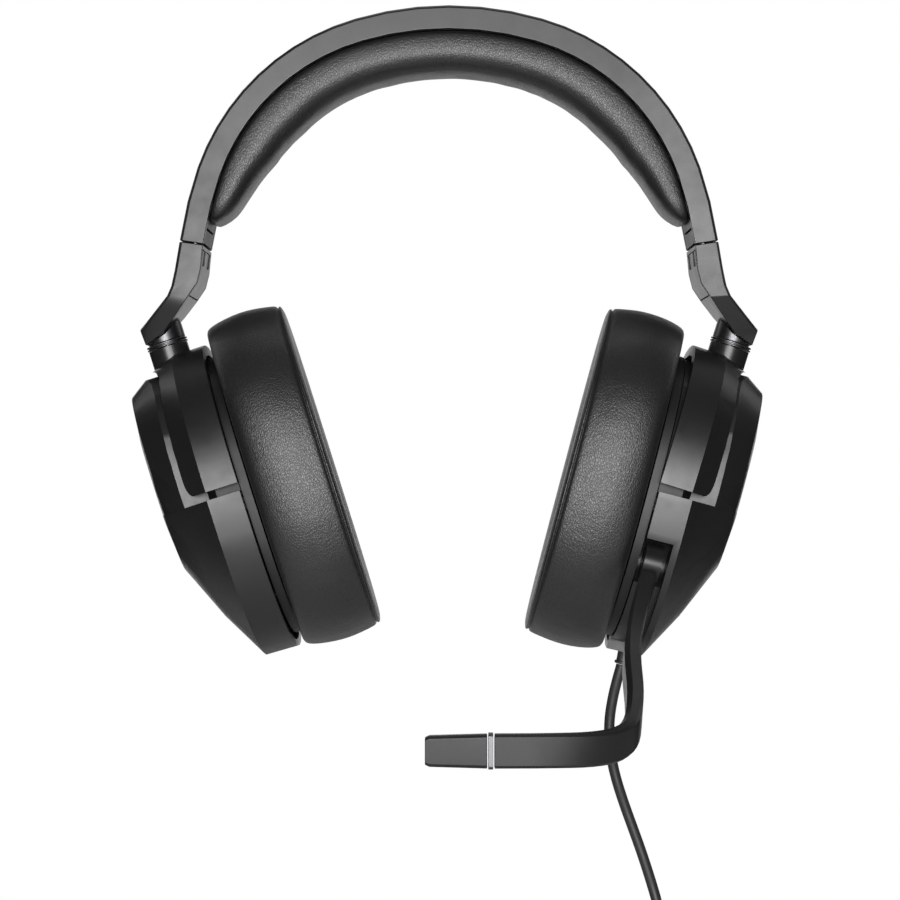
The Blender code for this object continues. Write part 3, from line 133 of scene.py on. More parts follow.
class HeadsetPlastic(bpy.types.PropertyGroup):
    band_colour: bpy.props.FloatVectorProperty(
        name="Band", description="Colour of the band and the arms", subtype="COLOR", size=3,
        min=0.0, max=1.0, default=(0.012, 0.012, 0.0125))
    cup_colour: bpy.props.FloatVectorProperty(
        name="Cups", description="Colour of the cup shells and forks", subtype="COLOR", size=3,
        min=0.0, max=1.0, default=(0.012, 0.012, 0.0125))
    inner_colour: bpy.props.FloatVectorProperty(
        name="Inner parts", description="Colour of the black inner mouldings", subtype="COLOR", size=3,
        min=0.0, max=1.0, default=(0.008, 0.008, 0.0085))
    boom_colour: bpy.props.FloatVectorProperty(
        name="Boom", description="Colour of the microphone boom", subtype="COLOR", size=3,
        min=0.0, max=1.0, default=(0.012, 0.012, 0.0125))
    roughness: bpy.props.FloatProperty(
        name="Roughness", description="How matte the moulded plastic is", subtype="FACTOR",
        min=0.0, max=1.0, default=0.36)
    texture: bpy.props.FloatProperty(
        name="Texture", description="Size of the moulded texture's grains", unit="LENGTH",
        min=0.00005, max=0.002, default=0.00022)
    edge: bpy.props.FloatProperty(
        name="Edge radius", description="Radius of the mouldings' edges", unit="LENGTH",
        min=0.00005, max=0.001, default=0.0003)


class HeadsetCushion(bpy.types.PropertyGroup):
    height: bpy.props.FloatProperty(
        name="Height", description="Half the ear cushion's height", unit="LENGTH",
        min=0.03, max=0.08, default=0.0513)
    depth: bpy.props.FloatProperty(
        name="Depth", description="Half the ear cushion's size from front to rear", unit="LENGTH",
        min=0.03, max=0.08, default=0.0426)
    bulge: bpy.props.FloatProperty(
        name="Bulge", description="How far the top and bottom of the cushion lean over the rim",
        unit="LENGTH", min=0.0, max=0.005, default=0.0024)
    pad_depth: bpy.props.FloatProperty(
        name="Headband pad depth", description="Size of the headband pad from front to rear",
        unit="LENGTH", min=0.01, max=0.06, default=0.0272)


class HeadsetCord(bpy.types.PropertyGroup):
    diameter: bpy.props.FloatProperty(
        name="Diameter", description="Diameter of the cord", unit="LENGTH",
        min=0.001, max=0.01, default=0.0033)
    coil_radius: bpy.props.FloatProperty(
        name="Coil radius", description="Radius to the middle of the coil's turns", unit="LENGTH",
        min=0.01, max=0.1, default=0.0198)
    pitch: bpy.props.FloatProperty(
        name="Turn pitch", description="Distance between neighbouring turns", unit="LENGTH",
        min=0.001, max=0.02, default=0.00337)


class HeadsetStage(bpy.types.PropertyGroup):
    floor_drop: bpy.props.FloatProperty(
        name="Floor drop", description="Room between the headset's lowest point and the floor",
        unit="LENGTH", min=0.0, max=1.0, default=0.004)
    floor_size: bpy.props.FloatProperty(
        name="Floor size", description="Radius of the floor", unit="LENGTH",
        min=0.1, max=100.0, default=0.55)
    key_power: bpy.props.FloatProperty(
        name="Key power", description="Power of the large soft light in front", unit="POWER",
        min=0.0, max=1000.0, default=15.0)
    camera_back: bpy.props.FloatProperty(
        name="Camera distance", description="Distance from the camera to the headset's middle plane",
        unit="LENGTH", min=0.1, max=10.0, default=0.765)
    camera_z: bpy.props.FloatProperty(
        name="Camera height", description="Height of the camera above the crown of the head",
        unit="LENGTH", min=-2.0, max=2.0, default=-0.114)
    lens: bpy.props.FloatProperty(
        name="Lens", description="Focal length of the camera", unit="CAMERA",
        min=10.0, max=500.0, default=100.2)


# ================================================================ materials

def start_material(name, roughness, metallic=0.0):
    material = bpy.data.materials.new(name)
    material.use_nodes = True
    tree = material.node_tree
    shader = tree.nodes["Principled BSDF"]
    shader.inputs["Roughness"].default_value = roughness
    shader.inputs["Metallic"].default_value = metallic
    place = tree.nodes.new("ShaderNodeTexCoord").outputs["Object"]
    return material, tree, shader, place


def mapped(tree, place, scale, turn=(0.0, 0.0, 0.0)):
    mapping = tree.nodes.new("ShaderNodeMapping")
    mapping.inputs["Scale"].default_value = scale
    mapping.inputs["Rotation"].default_value = turn
    tree.links.new(place, mapping.inputs["Vector"])
    return mapping.outputs["Vector"]


def noise_of(tree, place, scale, detail=3.0, roughness=0.55, distortion=0.0):
    texture = tree.nodes.new("ShaderNodeTexNoise")
    texture.inputs["Scale"].default_value = scale
    texture.inputs["Detail"].default_value = detail
    texture.inputs["Roughness"].default_value = roughness
    texture.inputs["Distortion"].default_value = distortion
    tree.links.new(place, texture.inputs["Vector"])
    return texture.outputs["Fac"]


def cells_of(tree, place, scale, feature="F1", randomness=1.0):
    texture = tree.nodes.new("ShaderNodeTexVoronoi")
    texture.feature = feature
    texture.inputs["Scale"].default_value = scale
    texture.inputs["Randomness"].default_value = randomness
    tree.links.new(place, texture.inputs["Vector"])
    return texture.outputs["Distance"]


def between(tree, value, low, high, to_low, to_high):
    """Re-range a value, kept within its new limits."""
    ranged = tree.nodes.new("ShaderNodeMapRange")
    for socket, number in (("From Min", low), ("From Max", high), ("To Min", to_low), ("To Max", to_high)):
        ranged.inputs[socket].default_value = number
    tree.links.new(value, ranged.inputs["Value"])
    return ranged.outputs["Result"]


def sum_of(tree, first, second, share):
    """first + second * share."""
    node = tree.nodes.new("ShaderNodeMath")
    node.operation = "MULTIPLY_ADD"
    tree.links.new(second, node.inputs[0])
    node.inputs[1].default_value = share
    tree.links.new(first, node.inputs[2])
    return node.outputs["Value"]


def paint(tree, shader, value, colour, low, high):
    """Base colour that runs from low to high times the colour, following a value."""
    mix = tree.nodes.new("ShaderNodeMix")
    mix.data_type = "RGBA"
    tree.links.new(value, mix.inputs["Factor"])
    mix.inputs["A"].default_value = (*(part * low for part in colour), 1.0)
    mix.inputs["B"].default_value = (*(part * high for part in colour), 1.0)
    tree.links.new(mix.outputs["Result"], shader.inputs["Base Color"])


def emboss(tree, shader, height, strength, distance):
    bump = tree.nodes.new("ShaderNodeBump")
    bump.inputs["Strength"].default_value = strength
    bump.inputs["Distance"].default_value = distance
    tree.links.new(height, bump.inputs["Height"])
    tree.links.new(bump.outputs["Normal"], shader.inputs["Normal"])


def moulded(name, colour, roughness, grain, depth=0.25, gloss=0.5):
    """Injection-moulded plastic: a fine spark texture, slow cloudiness and a few rubbed spots."""
    material, tree, shader, place = start_material(name, roughness)
    shader.inputs["IOR"].default_value = 1.5
    shader.inputs["Specular IOR Level"].default_value = gloss
    cloud = noise_of(tree, place, 28.0, 4.0)
    paint(tree, shader, cloud, colour, 0.86, 1.14)
    rubbed = noise_of(tree, place, 190.0, 5.0, 0.7)
    tree.links.new(between(tree, sum_of(tree, cloud, rubbed, 0.6), 0.55, 1.05,
                           roughness - 0.05, roughness + 0.06), shader.inputs["Roughness"])
    spark = noise_of(tree, place, 1.0 / grain, 2.0, 0.6)
    emboss(tree, shader, spark, depth, grain * 0.10)
    return material


def leatherette(name, colour, roughness, grain, depth):
    """Coated cloth with fine wrinkles that lie across the panel, and small pebbles between them."""
    material, tree, shader, place = start_material(name, roughness)
    shader.inputs["IOR"].default_value = 1.5
    shader.inputs["Specular IOR Level"].default_value = 0.62
    shader.inputs["Sheen Weight"].default_value = 0.03
    shader.inputs["Sheen Roughness"].default_value = 0.45
    warp = tree.nodes.new("ShaderNodeTexNoise")
    warp.inputs["Scale"].default_value = 0.18 / grain
    warp.inputs["Detail"].default_value = 2.0
    tree.links.new(place, warp.inputs["Vector"])
    shifted = tree.nodes.new("ShaderNodeVectorMath")
    shifted.operation = "MULTIPLY_ADD"
    tree.links.new(warp.outputs["Color"], shifted.inputs[0])
    shifted.inputs[1].default_value = (grain * 1.6,) * 3
    tree.links.new(place, shifted.inputs[2])
    along = mapped(tree, shifted.outputs["Vector"], (1.0, 0.7, 0.5), (0.35, 0.25, 0.5))
    wrinkles = noise_of(tree, along, 1.0 / grain, 3.0, 0.55, 0.2)
    pebbles = cells_of(tree, along, 1.15 / grain, "DISTANCE_TO_EDGE")
    height = sum_of(tree, between(tree, wrinkles, 0.32, 0.66, 0.0, 0.6),
                    between(tree, pebbles, 0.0, 0.22, 0.0, 1.0), 0.8)
    paint(tree, shader, height, colour, 0.55, 1.25)
    tree.links.new(between(tree, height, 0.0, 1.4, roughness + 0.07, roughness - 0.05),
                   shader.inputs["Roughness"])
    emboss(tree, shader, height, 0.22, depth)
    return material


def satin_metal(name, colour, roughness, grain=(1.0, 1.0, 0.05)):
    """Turned or brushed metal: long fine scratches along the piece."""
    material, tree, shader, place = start_material(name, roughness, 1.0)
    lines = noise_of(tree, mapped(tree, place, grain), 5200.0, 3.0, 0.6)
    paint(tree, shader, noise_of(tree, place, 90.0, 3.0), colour, 0.88, 1.10)
    tree.links.new(between(tree, lines, 0.3, 0.7, roughness - 0.05, roughness + 0.10),
                   shader.inputs["Roughness"])
    emboss(tree, shader, lines, 0.18, 0.00002)
    return material


def jacket_rubber(name, colour):
    """Matte cord jacket with a faint bloom."""
    material, tree, shader, place = start_material(name, 0.52)
    bloom = noise_of(tree, place, 120.0, 4.0)
    paint(tree, shader, bloom, colour, 0.8, 1.25)
    tree.links.new(between(tree, bloom, 0.35, 0.7, 0.46, 0.60), shader.inputs["Roughness"])
    emboss(tree, shader, noise_of(tree, place, 3200.0, 2.0), 0.2, 0.00003)
    return material


def knitted_cloth(name, colour, pitch):
    """Thin warp-knit mesh: small round holes on a regular grid, and fuzzy yarns."""
    material, tree, shader, place = start_material(name, 0.92)
    shader.inputs["Sheen Weight"].default_value = 0.25
    holes = cells_of(tree, mapped(tree, place, (0.6, 1.0, 1.0)), 1.0 / pitch, "F1", 0.12)
    fuzz = noise_of(tree, place, 6.0 / pitch, 3.0)
    height = sum_of(tree, between(tree, holes, 0.16, 0.36, 0.0, 1.0), fuzz, 0.25)
    paint(tree, shader, height, colour, 0.15, 1.35)
    emboss(tree, shader, height, 0.8, pitch * 0.35)
    return material


def solder_mask(name, colour):
    """Green board with faint copper traces under the mask."""
    material, tree, shader, place = start_material(name, 0.42)
    traces = cells_of(tree, mapped(tree, place, (1.0, 0.35, 1.0)), 420.0, "DISTANCE_TO_EDGE", 0.55)
    lines = between(tree, traces, 0.05, 0.11, 1.0, 0.0)
    paint(tree, shader, lines, colour, 0.85, 1.9)
    emboss(tree, shader, lines, 0.4, 0.00004)
    return material


def film(name, colour):
    """Formed speaker film with slow ripples."""
    material, tree, shader, place = start_material(name, 0.34)
    ripple = noise_of(tree, place, 420.0, 2.0)
    paint(tree, shader, ripple, colour, 0.8, 1.15)
    emboss(tree, shader, ripple, 0.35, 0.0001)
    return material


def make_finishes():
    """Every finish of the headset, by its slot name."""
    leather = bpy.context.scene.headset_leather
    plastic = bpy.context.scene.headset_plastic
    grain = plastic.texture
    rough = plastic.roughness
    return {
        "band_plastic": moulded("Band satin plastic", plastic.band_colour, rough, grain),
        "cup_plastic": moulded("Cup satin plastic", plastic.cup_colour, rough - 0.02, grain),
        "inner_plastic": moulded("Inner black plastic", plastic.inner_colour, rough + 0.10, grain * 1.2,
                                 gloss=0.4),
        "boom_plastic": moulded("Boom black plastic", plastic.boom_colour, rough, grain, gloss=0.32),
        "wheel_plastic": moulded("Wheel black plastic", plastic.inner_colour, rough + 0.08, grain),
        "leatherette": leatherette("Black leatherette", leather.colour, leather.roughness,
                                   leather.grain, leather.grain_depth),
        "speaker_cloth": knitted_cloth("Speaker cloth", (0.020, 0.020, 0.021), 0.0009),
        "spring_steel": satin_metal("Spring steel", (0.52, 0.52, 0.54), 0.30),
        "bright_trim": satin_metal("Bright trim", (0.12, 0.12, 0.125), 0.36, (1.0, 1.0, 0.2)),
        "dark_metal": satin_metal("Dark satin metal", (0.10, 0.10, 0.105), 0.34),
        "cord_rubber": jacket_rubber("Cord rubber", (0.020, 0.020, 0.021)),
        "circuit_board": solder_mask("Board", (0.02, 0.10, 0.05)),
        "cone_film": film("Speaker film", (0.25, 0.22, 0.18)),
        "gold_plate": satin_metal("Gold plate", (0.80, 0.58, 0.25), 0.22),
    }


FINISHES = {}


def finish(slot):
    if not FINISHES:
        FINISHES.update(make_finishes())
    return FINISHES[slot]


# ================================================================ working by hand

def deselect():
    bpy.ops.object.select_all(action="DESELECT")


def take(obj):
    """Make one object the only selected and active one."""
    deselect()
    obj.select_set(True)
    bpy.context.view_layer.objects.active = obj


def apply_modifier(obj, kind, **values):
    take(obj)
    modifier = obj.modifiers.new(kind.title(), kind)
    for key, value in values.items():
        setattr(modifier, key, value)
    bpy.ops.object.modifier_apply(modifier=modifier.name)


def smooth(obj, degrees=32.0):
    take(obj)
    bpy.ops.object.shade_smooth_by_angle(angle=math.radians(degrees))


def moulding_of(node, name, edge, segments=2, degrees=24.0):
    """A copy of a frame piece with its edges rounded."""
    return round_edges(blank_of(node, name), edge, segments, degrees)


def blank_of(node, name):
    """A copy of a frame piece with its loose triangles joined and its flats cleaned."""
    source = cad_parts[node]
    mesh = source.data.copy()
    mesh.materials.clear()
    obj = bpy.data.objects.new(name, mesh)
    bpy.context.scene.collection.objects.link(obj)
    take(obj)
    bpy.ops.object.mode_set(mode="EDIT")
    bpy.ops.mesh.select_all(action="SELECT")
    bpy.ops.mesh.remove_doubles(threshold=WELD)
    bpy.ops.mesh.customdata_custom_splitnormals_clear()
    bpy.ops.mesh.dissolve_limited(angle_limit=FLAT_ANGLE)
    bpy.ops.object.mode_set(mode="OBJECT")
    return obj


def round_edges(obj, edge, segments=2, degrees=24.0):
    if edge:
        apply_modifier(obj, "BEVEL", width=edge, segments=segments, limit_method="ANGLE",
                       angle_limit=math.radians(degrees), use_clamp_overlap=True,
                       miter_outer="MITER_ARC")
    smooth(obj, degrees)
    apply_modifier(obj, "WEIGHTED_NORMAL", keep_sharp=True)
    return obj


def slice_across(obj, centre, axis, runs):
    """Cut a piece's faces at distances in mm along its axis."""
    take(obj)
    bpy.ops.object.mode_set(mode="EDIT")
    for run in runs:
        bpy.ops.mesh.select_all(action="SELECT")
        bpy.ops.mesh.bisect(plane_co=centre + axis * run * MM, plane_no=axis)
    bpy.ops.mesh.select_all(action="DESELECT")
    bpy.ops.object.mode_set(mode="OBJECT")


def sink_selected(obj, depth, edge):
    """Sink the selected faces by a depth in mm and round the new edges."""
    bpy.ops.object.mode_set(mode="EDIT")
    bpy.ops.mesh.extrude_region_shrink_fatten(TRANSFORM_OT_shrink_fatten={"value": -depth * MM})
    bpy.ops.object.mode_set(mode="OBJECT")
    apply_modifier(obj, "BEVEL", width=edge, segments=2, limit_method="ANGLE",
                   angle_limit=math.radians(40.0), use_clamp_overlap=True)
    smooth(obj, 40.0)


def settle(obj, body, slot, *nodes):
    """Give a finished piece its material, its body and the frame pieces that it stands for."""
    obj.data.materials.clear()
    obj.data.materials.append(finish(slot))
    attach(obj, body)
    if nodes:
        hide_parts(*nodes)
    return obj


def dress(node, slot):
    """Give a frame piece that stays as it is its finish."""
    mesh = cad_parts[node].data
    mesh.materials.clear()
    mesh.materials.append(finish(slot))


def mesh_piece(name, work):
    bmesh.ops.recalc_face_normals(work, faces=work.faces)
    mesh = bpy.data.meshes.new(name)
    work.to_mesh(mesh)
    work.free()
    obj = bpy.data.objects.new(name, mesh)
    bpy.context.scene.collection.objects.link(obj)
    return obj


def skin(name, rings, closed=False):
    """A padded form through rings that have the same number of points."""
    work = bmesh.new()
    rows = [[work.verts.new(point) for point in ring] for ring in rings]
    pairs = list(zip(rows, rows[1:]))
    if closed:
        pairs.append((rows[-1], rows[0]))
    for first, second in pairs:
        for k, vert in enumerate(first):
            n = (k + 1) % len(first)
            work.faces.new((vert, first[n], second[n], second[k]))
    if not closed:
        work.faces.new(rows[0][::-1])
        work.faces.new(rows[-1])
    return mesh_piece(name, work)


def blend_values(pairs, at):
    for (low, first), (high, second) in zip(pairs, pairs[1:]):
        if at <= high:
            return first + (second - first) * (at - low) / (high - low)
    return pairs[-1][1]


def through(points, steps):
    """A smooth line through points."""
    padded = [points[0] * 2 - points[1]] + list(points) + [points[-1] * 2 - points[-2]]
    line = []
    for p0, p1, p2, p3 in zip(padded, padded[1:], padded[2:], padded[3:]):
        for step in range(steps):
            t = step / steps
            line.append(0.5 * (2 * p1 + (p2 - p0) * t + (2 * p0 - 5 * p1 + 4 * p2 - p3) * t * t
                               + (3 * p1 - p0 - 3 * p2 + p3) * t ** 3))
    line.append(points[-1].copy())
    return line


# ================================================================ stage

FILL_STRENGTH = 0.022              # the world as a light; the camera sees it at full strength


def add_area(name, place, aim, size, power, size_y=None):
    bpy.ops.object.light_add(type="AREA", location=place)
    lamp = bpy.context.object
    lamp.name = name
    lamp.data.shape = "RECTANGLE"
    lamp.data.size = size
    lamp.data.size_y = size_y or size
    lamp.data.energy = power
    lamp.visible_camera = False
    lamp.rotation_euler = (Vector(aim) - Vector(place)).to_track_quat("-Z", "Y").to_euler()
    return lamp


class HEADSET_OT_stage(bpy.types.Operator):
    """Pale floor, soft lights and the camera"""
    bl_idname = "headset.stage"
    bl_label = "Stage"

    def execute(self, context):
        stage = context.scene.headset_stage
        deselect()
        low = Vector(CAD_BOX[0])
        bpy.ops.mesh.primitive_circle_add(vertices=96, radius=stage.floor_size, fill_type="NGON",
                                          location=(0.0, 0.0, low.z - stage.floor_drop))
        floor = context.object
        floor.name = "floor"
        material, tree, shader, place = start_material("Pale floor", 0.75)
        paint(tree, shader, noise_of(tree, place, 1.5, 2.0), (0.90, 0.90, 0.90), 0.99, 1.01)
        floor.data.materials.append(material)

        world = bpy.data.worlds.new("Studio")
        world.use_nodes = True
        context.scene.world = world
        tree = world.node_tree
        backdrop = tree.nodes["Background"]
        backdrop.inputs["Color"].default_value = (1.0, 1.0, 1.0, 1.0)
        backdrop.inputs["Strength"].default_value = 1.0
        fill = tree.nodes.new("ShaderNodeBackground")
        fill.inputs["Color"].default_value = (1.0, 1.0, 1.0, 1.0)
        fill.inputs["Strength"].default_value = FILL_STRENGTH
        path = tree.nodes.new("ShaderNodeLightPath")
        mix = tree.nodes.new("ShaderNodeMixShader")
        tree.links.new(path.outputs["Is Camera Ray"], mix.inputs["Fac"])
        tree.links.new(fill.outputs["Background"], mix.inputs[1])
        tree.links.new(backdrop.outputs["Background"], mix.inputs[2])
        tree.links.new(mix.outputs["Shader"], tree.nodes["World Output"].inputs["Surface"])

        aim = (0.0, 0.0, -0.10)
        add_area("Front softbox", (0.0, -1.15, -0.06), aim, 0.75, stage.key_power, 0.36)
        add_area("Top softbox", (0.0, 0.25, 0.95), aim, 0.8, 3.0)
        add_area("Left strip", (1.05, 0.55, 0.55), aim, 0.35, 1.6, 0.9)
        add_area("Right strip", (-1.05, 0.55, 0.55), aim, 0.35, 1.6, 0.9)
        add_area("Rear softbox", (0.0, 1.4, -0.05), aim, 1.3, 3.6, 0.9)

        bpy.ops.object.camera_add(location=(0.0003, -stage.camera_back, stage.camera_z),
                                  rotation=(math.radians(90.0), 0.0, 0.0))
        camera = context.object
        camera.name = "Camera"
        camera.data.lens = stage.lens
        camera.data.sensor_width = 36.0
        camera.data.clip_end = 100.0
        context.scene.camera = camera
        context.scene.view_settings.view_transform = "Standard"
        return {"FINISHED"}


# ================================================================ cord

# the free stretch from the strain relief to the coil, in mm
LEAD_ROUTE = (
    (52.9, 4.0, -180.0), (51.5, 4.0, -185.0), (50.2, 3.9, -190.5), (49.3, 3.7, -196.5),
    (49.2, 3.3, -202.5), (49.9, 2.9, -208.8), (51.3, 2.4, -215.0), (53.5, 1.8, -222.0),
    (56.0, 1.2, -229.0), (58.5, 0.6, -236.0), (60.8, 0.0, -243.0), (62.9, -0.8, -250.0),
    (64.4, -2.2, -256.0), (65.3, -4.0, -261.0), (65.5, -5.4, -266.0), (65.4, -6.3, -271.0),
    (65.2, -6.2, -276.0),
)
TAIL_ROUTE = ((61.7, 6.4, -289.0), (61.7, 6.4, -295.0), (61.7, 5.6, -301.0), (61.8, 5.2, -307.0),
              (61.9, 5.0, -313.6))
COIL_CENTRE = Vector((43.6, 0.0, -283.0))
ROW_HEIGHT = 0.866                 # rows of packed turns, in pitches
# places of the turns in the bundle: row, then offsets from its middle, both in pitches
COIL_ROWS = ((-2, (0.5, -0.5)), (-1, (-1.0, 0.0, 1.0)), (0, (1.5, 0.5, -0.5, -1.5)),
             (1, (-1.0, 0.0, 1.0)), (2, (0.5, -0.5)))
TURN_POINTS = 36
CROSS_OVER = 17.0                  # degrees each side of the tie in which a turn steps to the next
ROUTE_STEPS = 4                    # points of the smooth line for each point of a route
BOOT_GROOVES = ((-4.6, -3.9), (-3.0, -2.3), (-1.4, -0.7))     # along the strain relief, from its middle
BOOT_GROOVE_DEPTH = 0.45
INSULATOR_RISES = (3.4, 6.4, 9.4)  # above the plug's tip
GRIP_RIBS = 5
RIB_START = 9.0                    # below the top of the plug's grip
RIB_PITCH = 1.6


def coil_line(radius, pitch):
    """Clockwise turns that step to their next place under the tie at the foot of the coil."""
    places = [(row * ROW_HEIGHT * pitch, offset * pitch) for row, offsets in COIL_ROWS for offset in offsets]
    turns = len(places) - 1
    line = []
    for k in range(turns * TURN_POINTS + 1):
        gone = 360.0 * k / TURN_POINTS
        passed = (gone - 90.0) / 360.0
        nearest = round(passed)
        off = (passed - nearest) * 360.0
        share = min(1.0, max(0.0, 0.5 + off / (2 * CROSS_OVER)))
        share = share * share * (3 - 2 * share)
        at = min(max(nearest, 0), turns)
        y0, r0 = places[at]
        y1, r1 = places[min(at + 1, turns)]
        y, r = y0 + (y1 - y0) * share, r0 + (r1 - r0) * share
        turn = math.radians(-gone)
        line.append(COIL_CENTRE + Vector(((radius + r) * math.cos(turn), y, (radius + r) * math.sin(turn))))
    return line


class HEADSET_OT_cord(bpy.types.Operator):
    """The cord, its strain relief, its tie and its plug"""
    bl_idname = "headset.cord"
    bl_label = "Cord"

    def execute(self, context):
        cord = context.scene.headset_cord
        coil = coil_line(cord.coil_radius / MM, cord.pitch / MM)
        lead = through([Vector(point) for point in LEAD_ROUTE] + coil[:2], ROUTE_STEPS)
        tail = through(coil[-2:] + [Vector(point) for point in TAIL_ROUTE], ROUTE_STEPS)
        line = lead[:-ROUTE_STEPS] + coil[1:-2] + tail
        curve = bpy.data.curves.new("headset_cord", "CURVE")
        curve.dimensions = "3D"
        curve.bevel_depth = cord.diameter / 2
        curve.bevel_resolution = 3
        curve.use_fill_caps = True
        spline = curve.splines.new("POLY")
        spline.points.add(len(line) - 1)
        for target, point in zip(spline.points, line):
            target.co = (*(point * MM), 1.0)
        spline.use_smooth = True
        flex = bpy.data.objects.new("headset_cord", curve)
        context.scene.collection.objects.link(flex)
        settle(flex, "left_cup", "cord_rubber", "cord_lead", "cord_coil", "cord_tail")

        boot = self.make_boot()
        tie = moulding_of("coil_tie", "cord_tie", 0.0002, 2)
        settle(tie, "left_cup", "speaker_cloth", "coil_tie")
        plug = moulding_of("plug_body", "plug_grip", 0.0003, 3)
        settle(plug, "left_cup", "cord_rubber", "plug_body")
        pin = moulding_of("plug_pin", "plug_contact", 0.00012, 2)
        settle(pin, "left_cup", "gold_plate", "plug_pin")
        rings = self.make_insulators()
        ribs = self.make_grip_ribs()
        return {"FINISHED"}

    def make_boot(self):
        """The strain relief with its flex grooves."""
        boot = moulding_of("strain_relief", "cord_boot", 0.0, 1, 40.0)
        low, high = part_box("strain_relief")
        axis = (cup_place(1) @ Vector((0.0, 0.0, 1.0)) - cup_place(1) @ Vector((0.0, 0.0, 0.0))).normalized()
        middle = (low + high) / 2
        slice_across(boot, middle, axis, [end for groove in BOOT_GROOVES for end in groove])
        for face in boot.data.polygons:
            run = (face.center - middle).dot(axis) / MM
            side_wall = abs(face.normal.dot(axis)) < 0.5
            face.select = side_wall and any(low_end < run < high_end for low_end, high_end in BOOT_GROOVES)
        sink_selected(boot, BOOT_GROOVE_DEPTH, 0.00018)
        return settle(boot, "left_cup", "cord_rubber", "strain_relief")

    def make_insulators(self):
        """Three thin rings between the plug's four contacts."""
        low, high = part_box("plug_pin")
        middle = (low + high) / 2
        parts = []
        for rise in INSULATOR_RISES:
            bpy.ops.mesh.primitive_torus_add(location=(middle.x, middle.y, low.z + rise * MM),
                                             major_segments=32, minor_segments=8,
                                             major_radius=(high.x - low.x) / 2 - 0.16 * MM,
                                             minor_radius=0.24 * MM)
            parts.append(bpy.context.object)
        rings = join_pieces(parts, "plug_insulators")
        smooth(rings, 60.0)
        return settle(rings, "left_cup", "inner_plastic")

    def make_grip_ribs(self):
        """Raised ribs round the plug's grip."""
        low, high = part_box("plug_body")
        middle = (low + high) / 2
        parts = []
        for k in range(GRIP_RIBS):
            drop = RIB_START + k * RIB_PITCH
            bpy.ops.mesh.primitive_torus_add(location=(middle.x, middle.y, high.z - drop * MM),
                                             major_segments=40, minor_segments=8,
                                             major_radius=(high.x - low.x) / 2 - 0.05 * MM,
                                             minor_radius=0.35 * MM)
            parts.append(bpy.context.object)
        ribs = join_pieces(parts, "plug_grip_ribs")
        smooth(ribs, 60.0)
        return settle(ribs, "left_cup", "cord_rubber")


def join_pieces(parts, name):
    """Join pieces into one whose object sits at the origin, unturned."""
    deselect()
    for part in parts:
        part.select_set(True)
    bpy.context.view_layer.objects.active = parts[0]
    if len(parts) > 1:
        bpy.ops.object.join()
    joined = bpy.context.view_layer.objects.active
    bpy.ops.object.transform_apply(location=True, rotation=True, scale=True)
    joined.name = name
    joined.data.name = name
    return joined


# ================================================================ headband

PAD_RIDE = 0.3                     # room between the band and the pad
PAD_COUNT = 96
# the pad's thickness in mm at angles from the top
PAD_THICK = ((0.0, 12.0), (25.0, 12.5), (45.0, 12.8), (60.0, 11.7), (72.0, 8.9), (75.0, 7.1), (76.8, 5.2),
             (77.7, 3.4), (78.2, 1.4))
# the pad's section: share of its thickness, share of its half depth
PAD_SECTION = ((0.0, 0.90), (0.03, 0.955), (0.16, 0.985), (0.40, 1.0), (0.60, 0.985), (0.76, 0.93),
               (0.88, 0.82), (0.955, 0.66), (0.985, 0.45), (1.0, 0.22), (1.0, 0.0))


class HEADSET_OT_headband(bpy.types.Operator):
    """The band's cover, its liner and its end collars"""
    bl_idname = "headset.headband"
    bl_label = "Headband"

    def execute(self, context):
        edge = context.scene.headset_plastic.edge
        cover = moulding_of("headband_top_cover", "band_cover", edge, 3)
        settle(cover, "headband", "band_plastic", "headband_top_cover")
        liner = moulding_of("headband_inner_liner", "band_liner", edge * 0.6)
        settle(liner, "headband", "inner_plastic", "headband_inner_liner")
        for name, _ in SIDES:
            collar = moulding_of(f"{name}_end_collar", f"{name}_band_collar", edge * 0.8)
            settle(collar, "headband", "inner_plastic", f"{name}_end_collar")
            dress(f"{name}_detent_spring", "spring_steel")
        wire = moulding_of("bridge_wire", "bridge_lead", 0.0, 1, 60.0)
        settle(wire, "headband", "cord_rubber", "bridge_wire")
        return {"FINISHED"}


class HEADSET_OT_band_pad(bpy.types.Operator):
    """The crowned leatherette pad under the band"""
    bl_idname = "headset.band_pad"
    bl_label = "Headband pad"

    def execute(self, context):
        half = context.scene.headset_cushion.pad_depth / MM / 2
        top = BAND_THICK + PAD_RIDE
        limit = PAD_THICK[-1][0]
        outline = list(PAD_SECTION) + [(share, -side) for share, side in PAD_SECTION[-2::-1]]
        rings = []
        for k in range(PAD_COUNT + 1):
            lean = -1.0 + 2.0 * k / PAD_COUNT
            angle = limit * math.sin(lean * math.pi / 2) if abs(lean) > 0.98 else limit * lean
            thick = blend_values(PAD_THICK, abs(angle))
            closing = min(1.0, 0.86 + 0.14 * (limit - abs(angle)) / 3.0)
            ring = []
            for share, side in outline:
                y = side * half * closing
                pucker = 0.22 * noise.noise(Vector((angle * 0.35, y * 0.16, share * 2.0)))
                ring.append(arch_point(angle, top + thick * share + pucker * share, y))
            rings.append(ring)
        pad = skin("band_pad", rings)
        apply_modifier(pad, "SUBSURF", levels=1, render_levels=1)
        smooth(pad, 80.0)
        settle(pad, "headband", "leatherette", "headband_pad")
        return {"FINISHED"}


# ================================================================ arms

RING_GROOVE_HALF = 0.2             # half the groove's width
RING_GROOVE_DEPTH = 0.5
RING_BORE = 4.0                    # faces nearer to the axis than this are the ring's bore
INDEX_BAR = (0.4, 1.3, 4.6)        # how far a bar stands out, its width and its length
INDEX_YS = (-7.4, 6.6)
INDEX_X = 74.0
INDEX_Z = -56.2
INDEX_LEAN = math.radians(5.5)


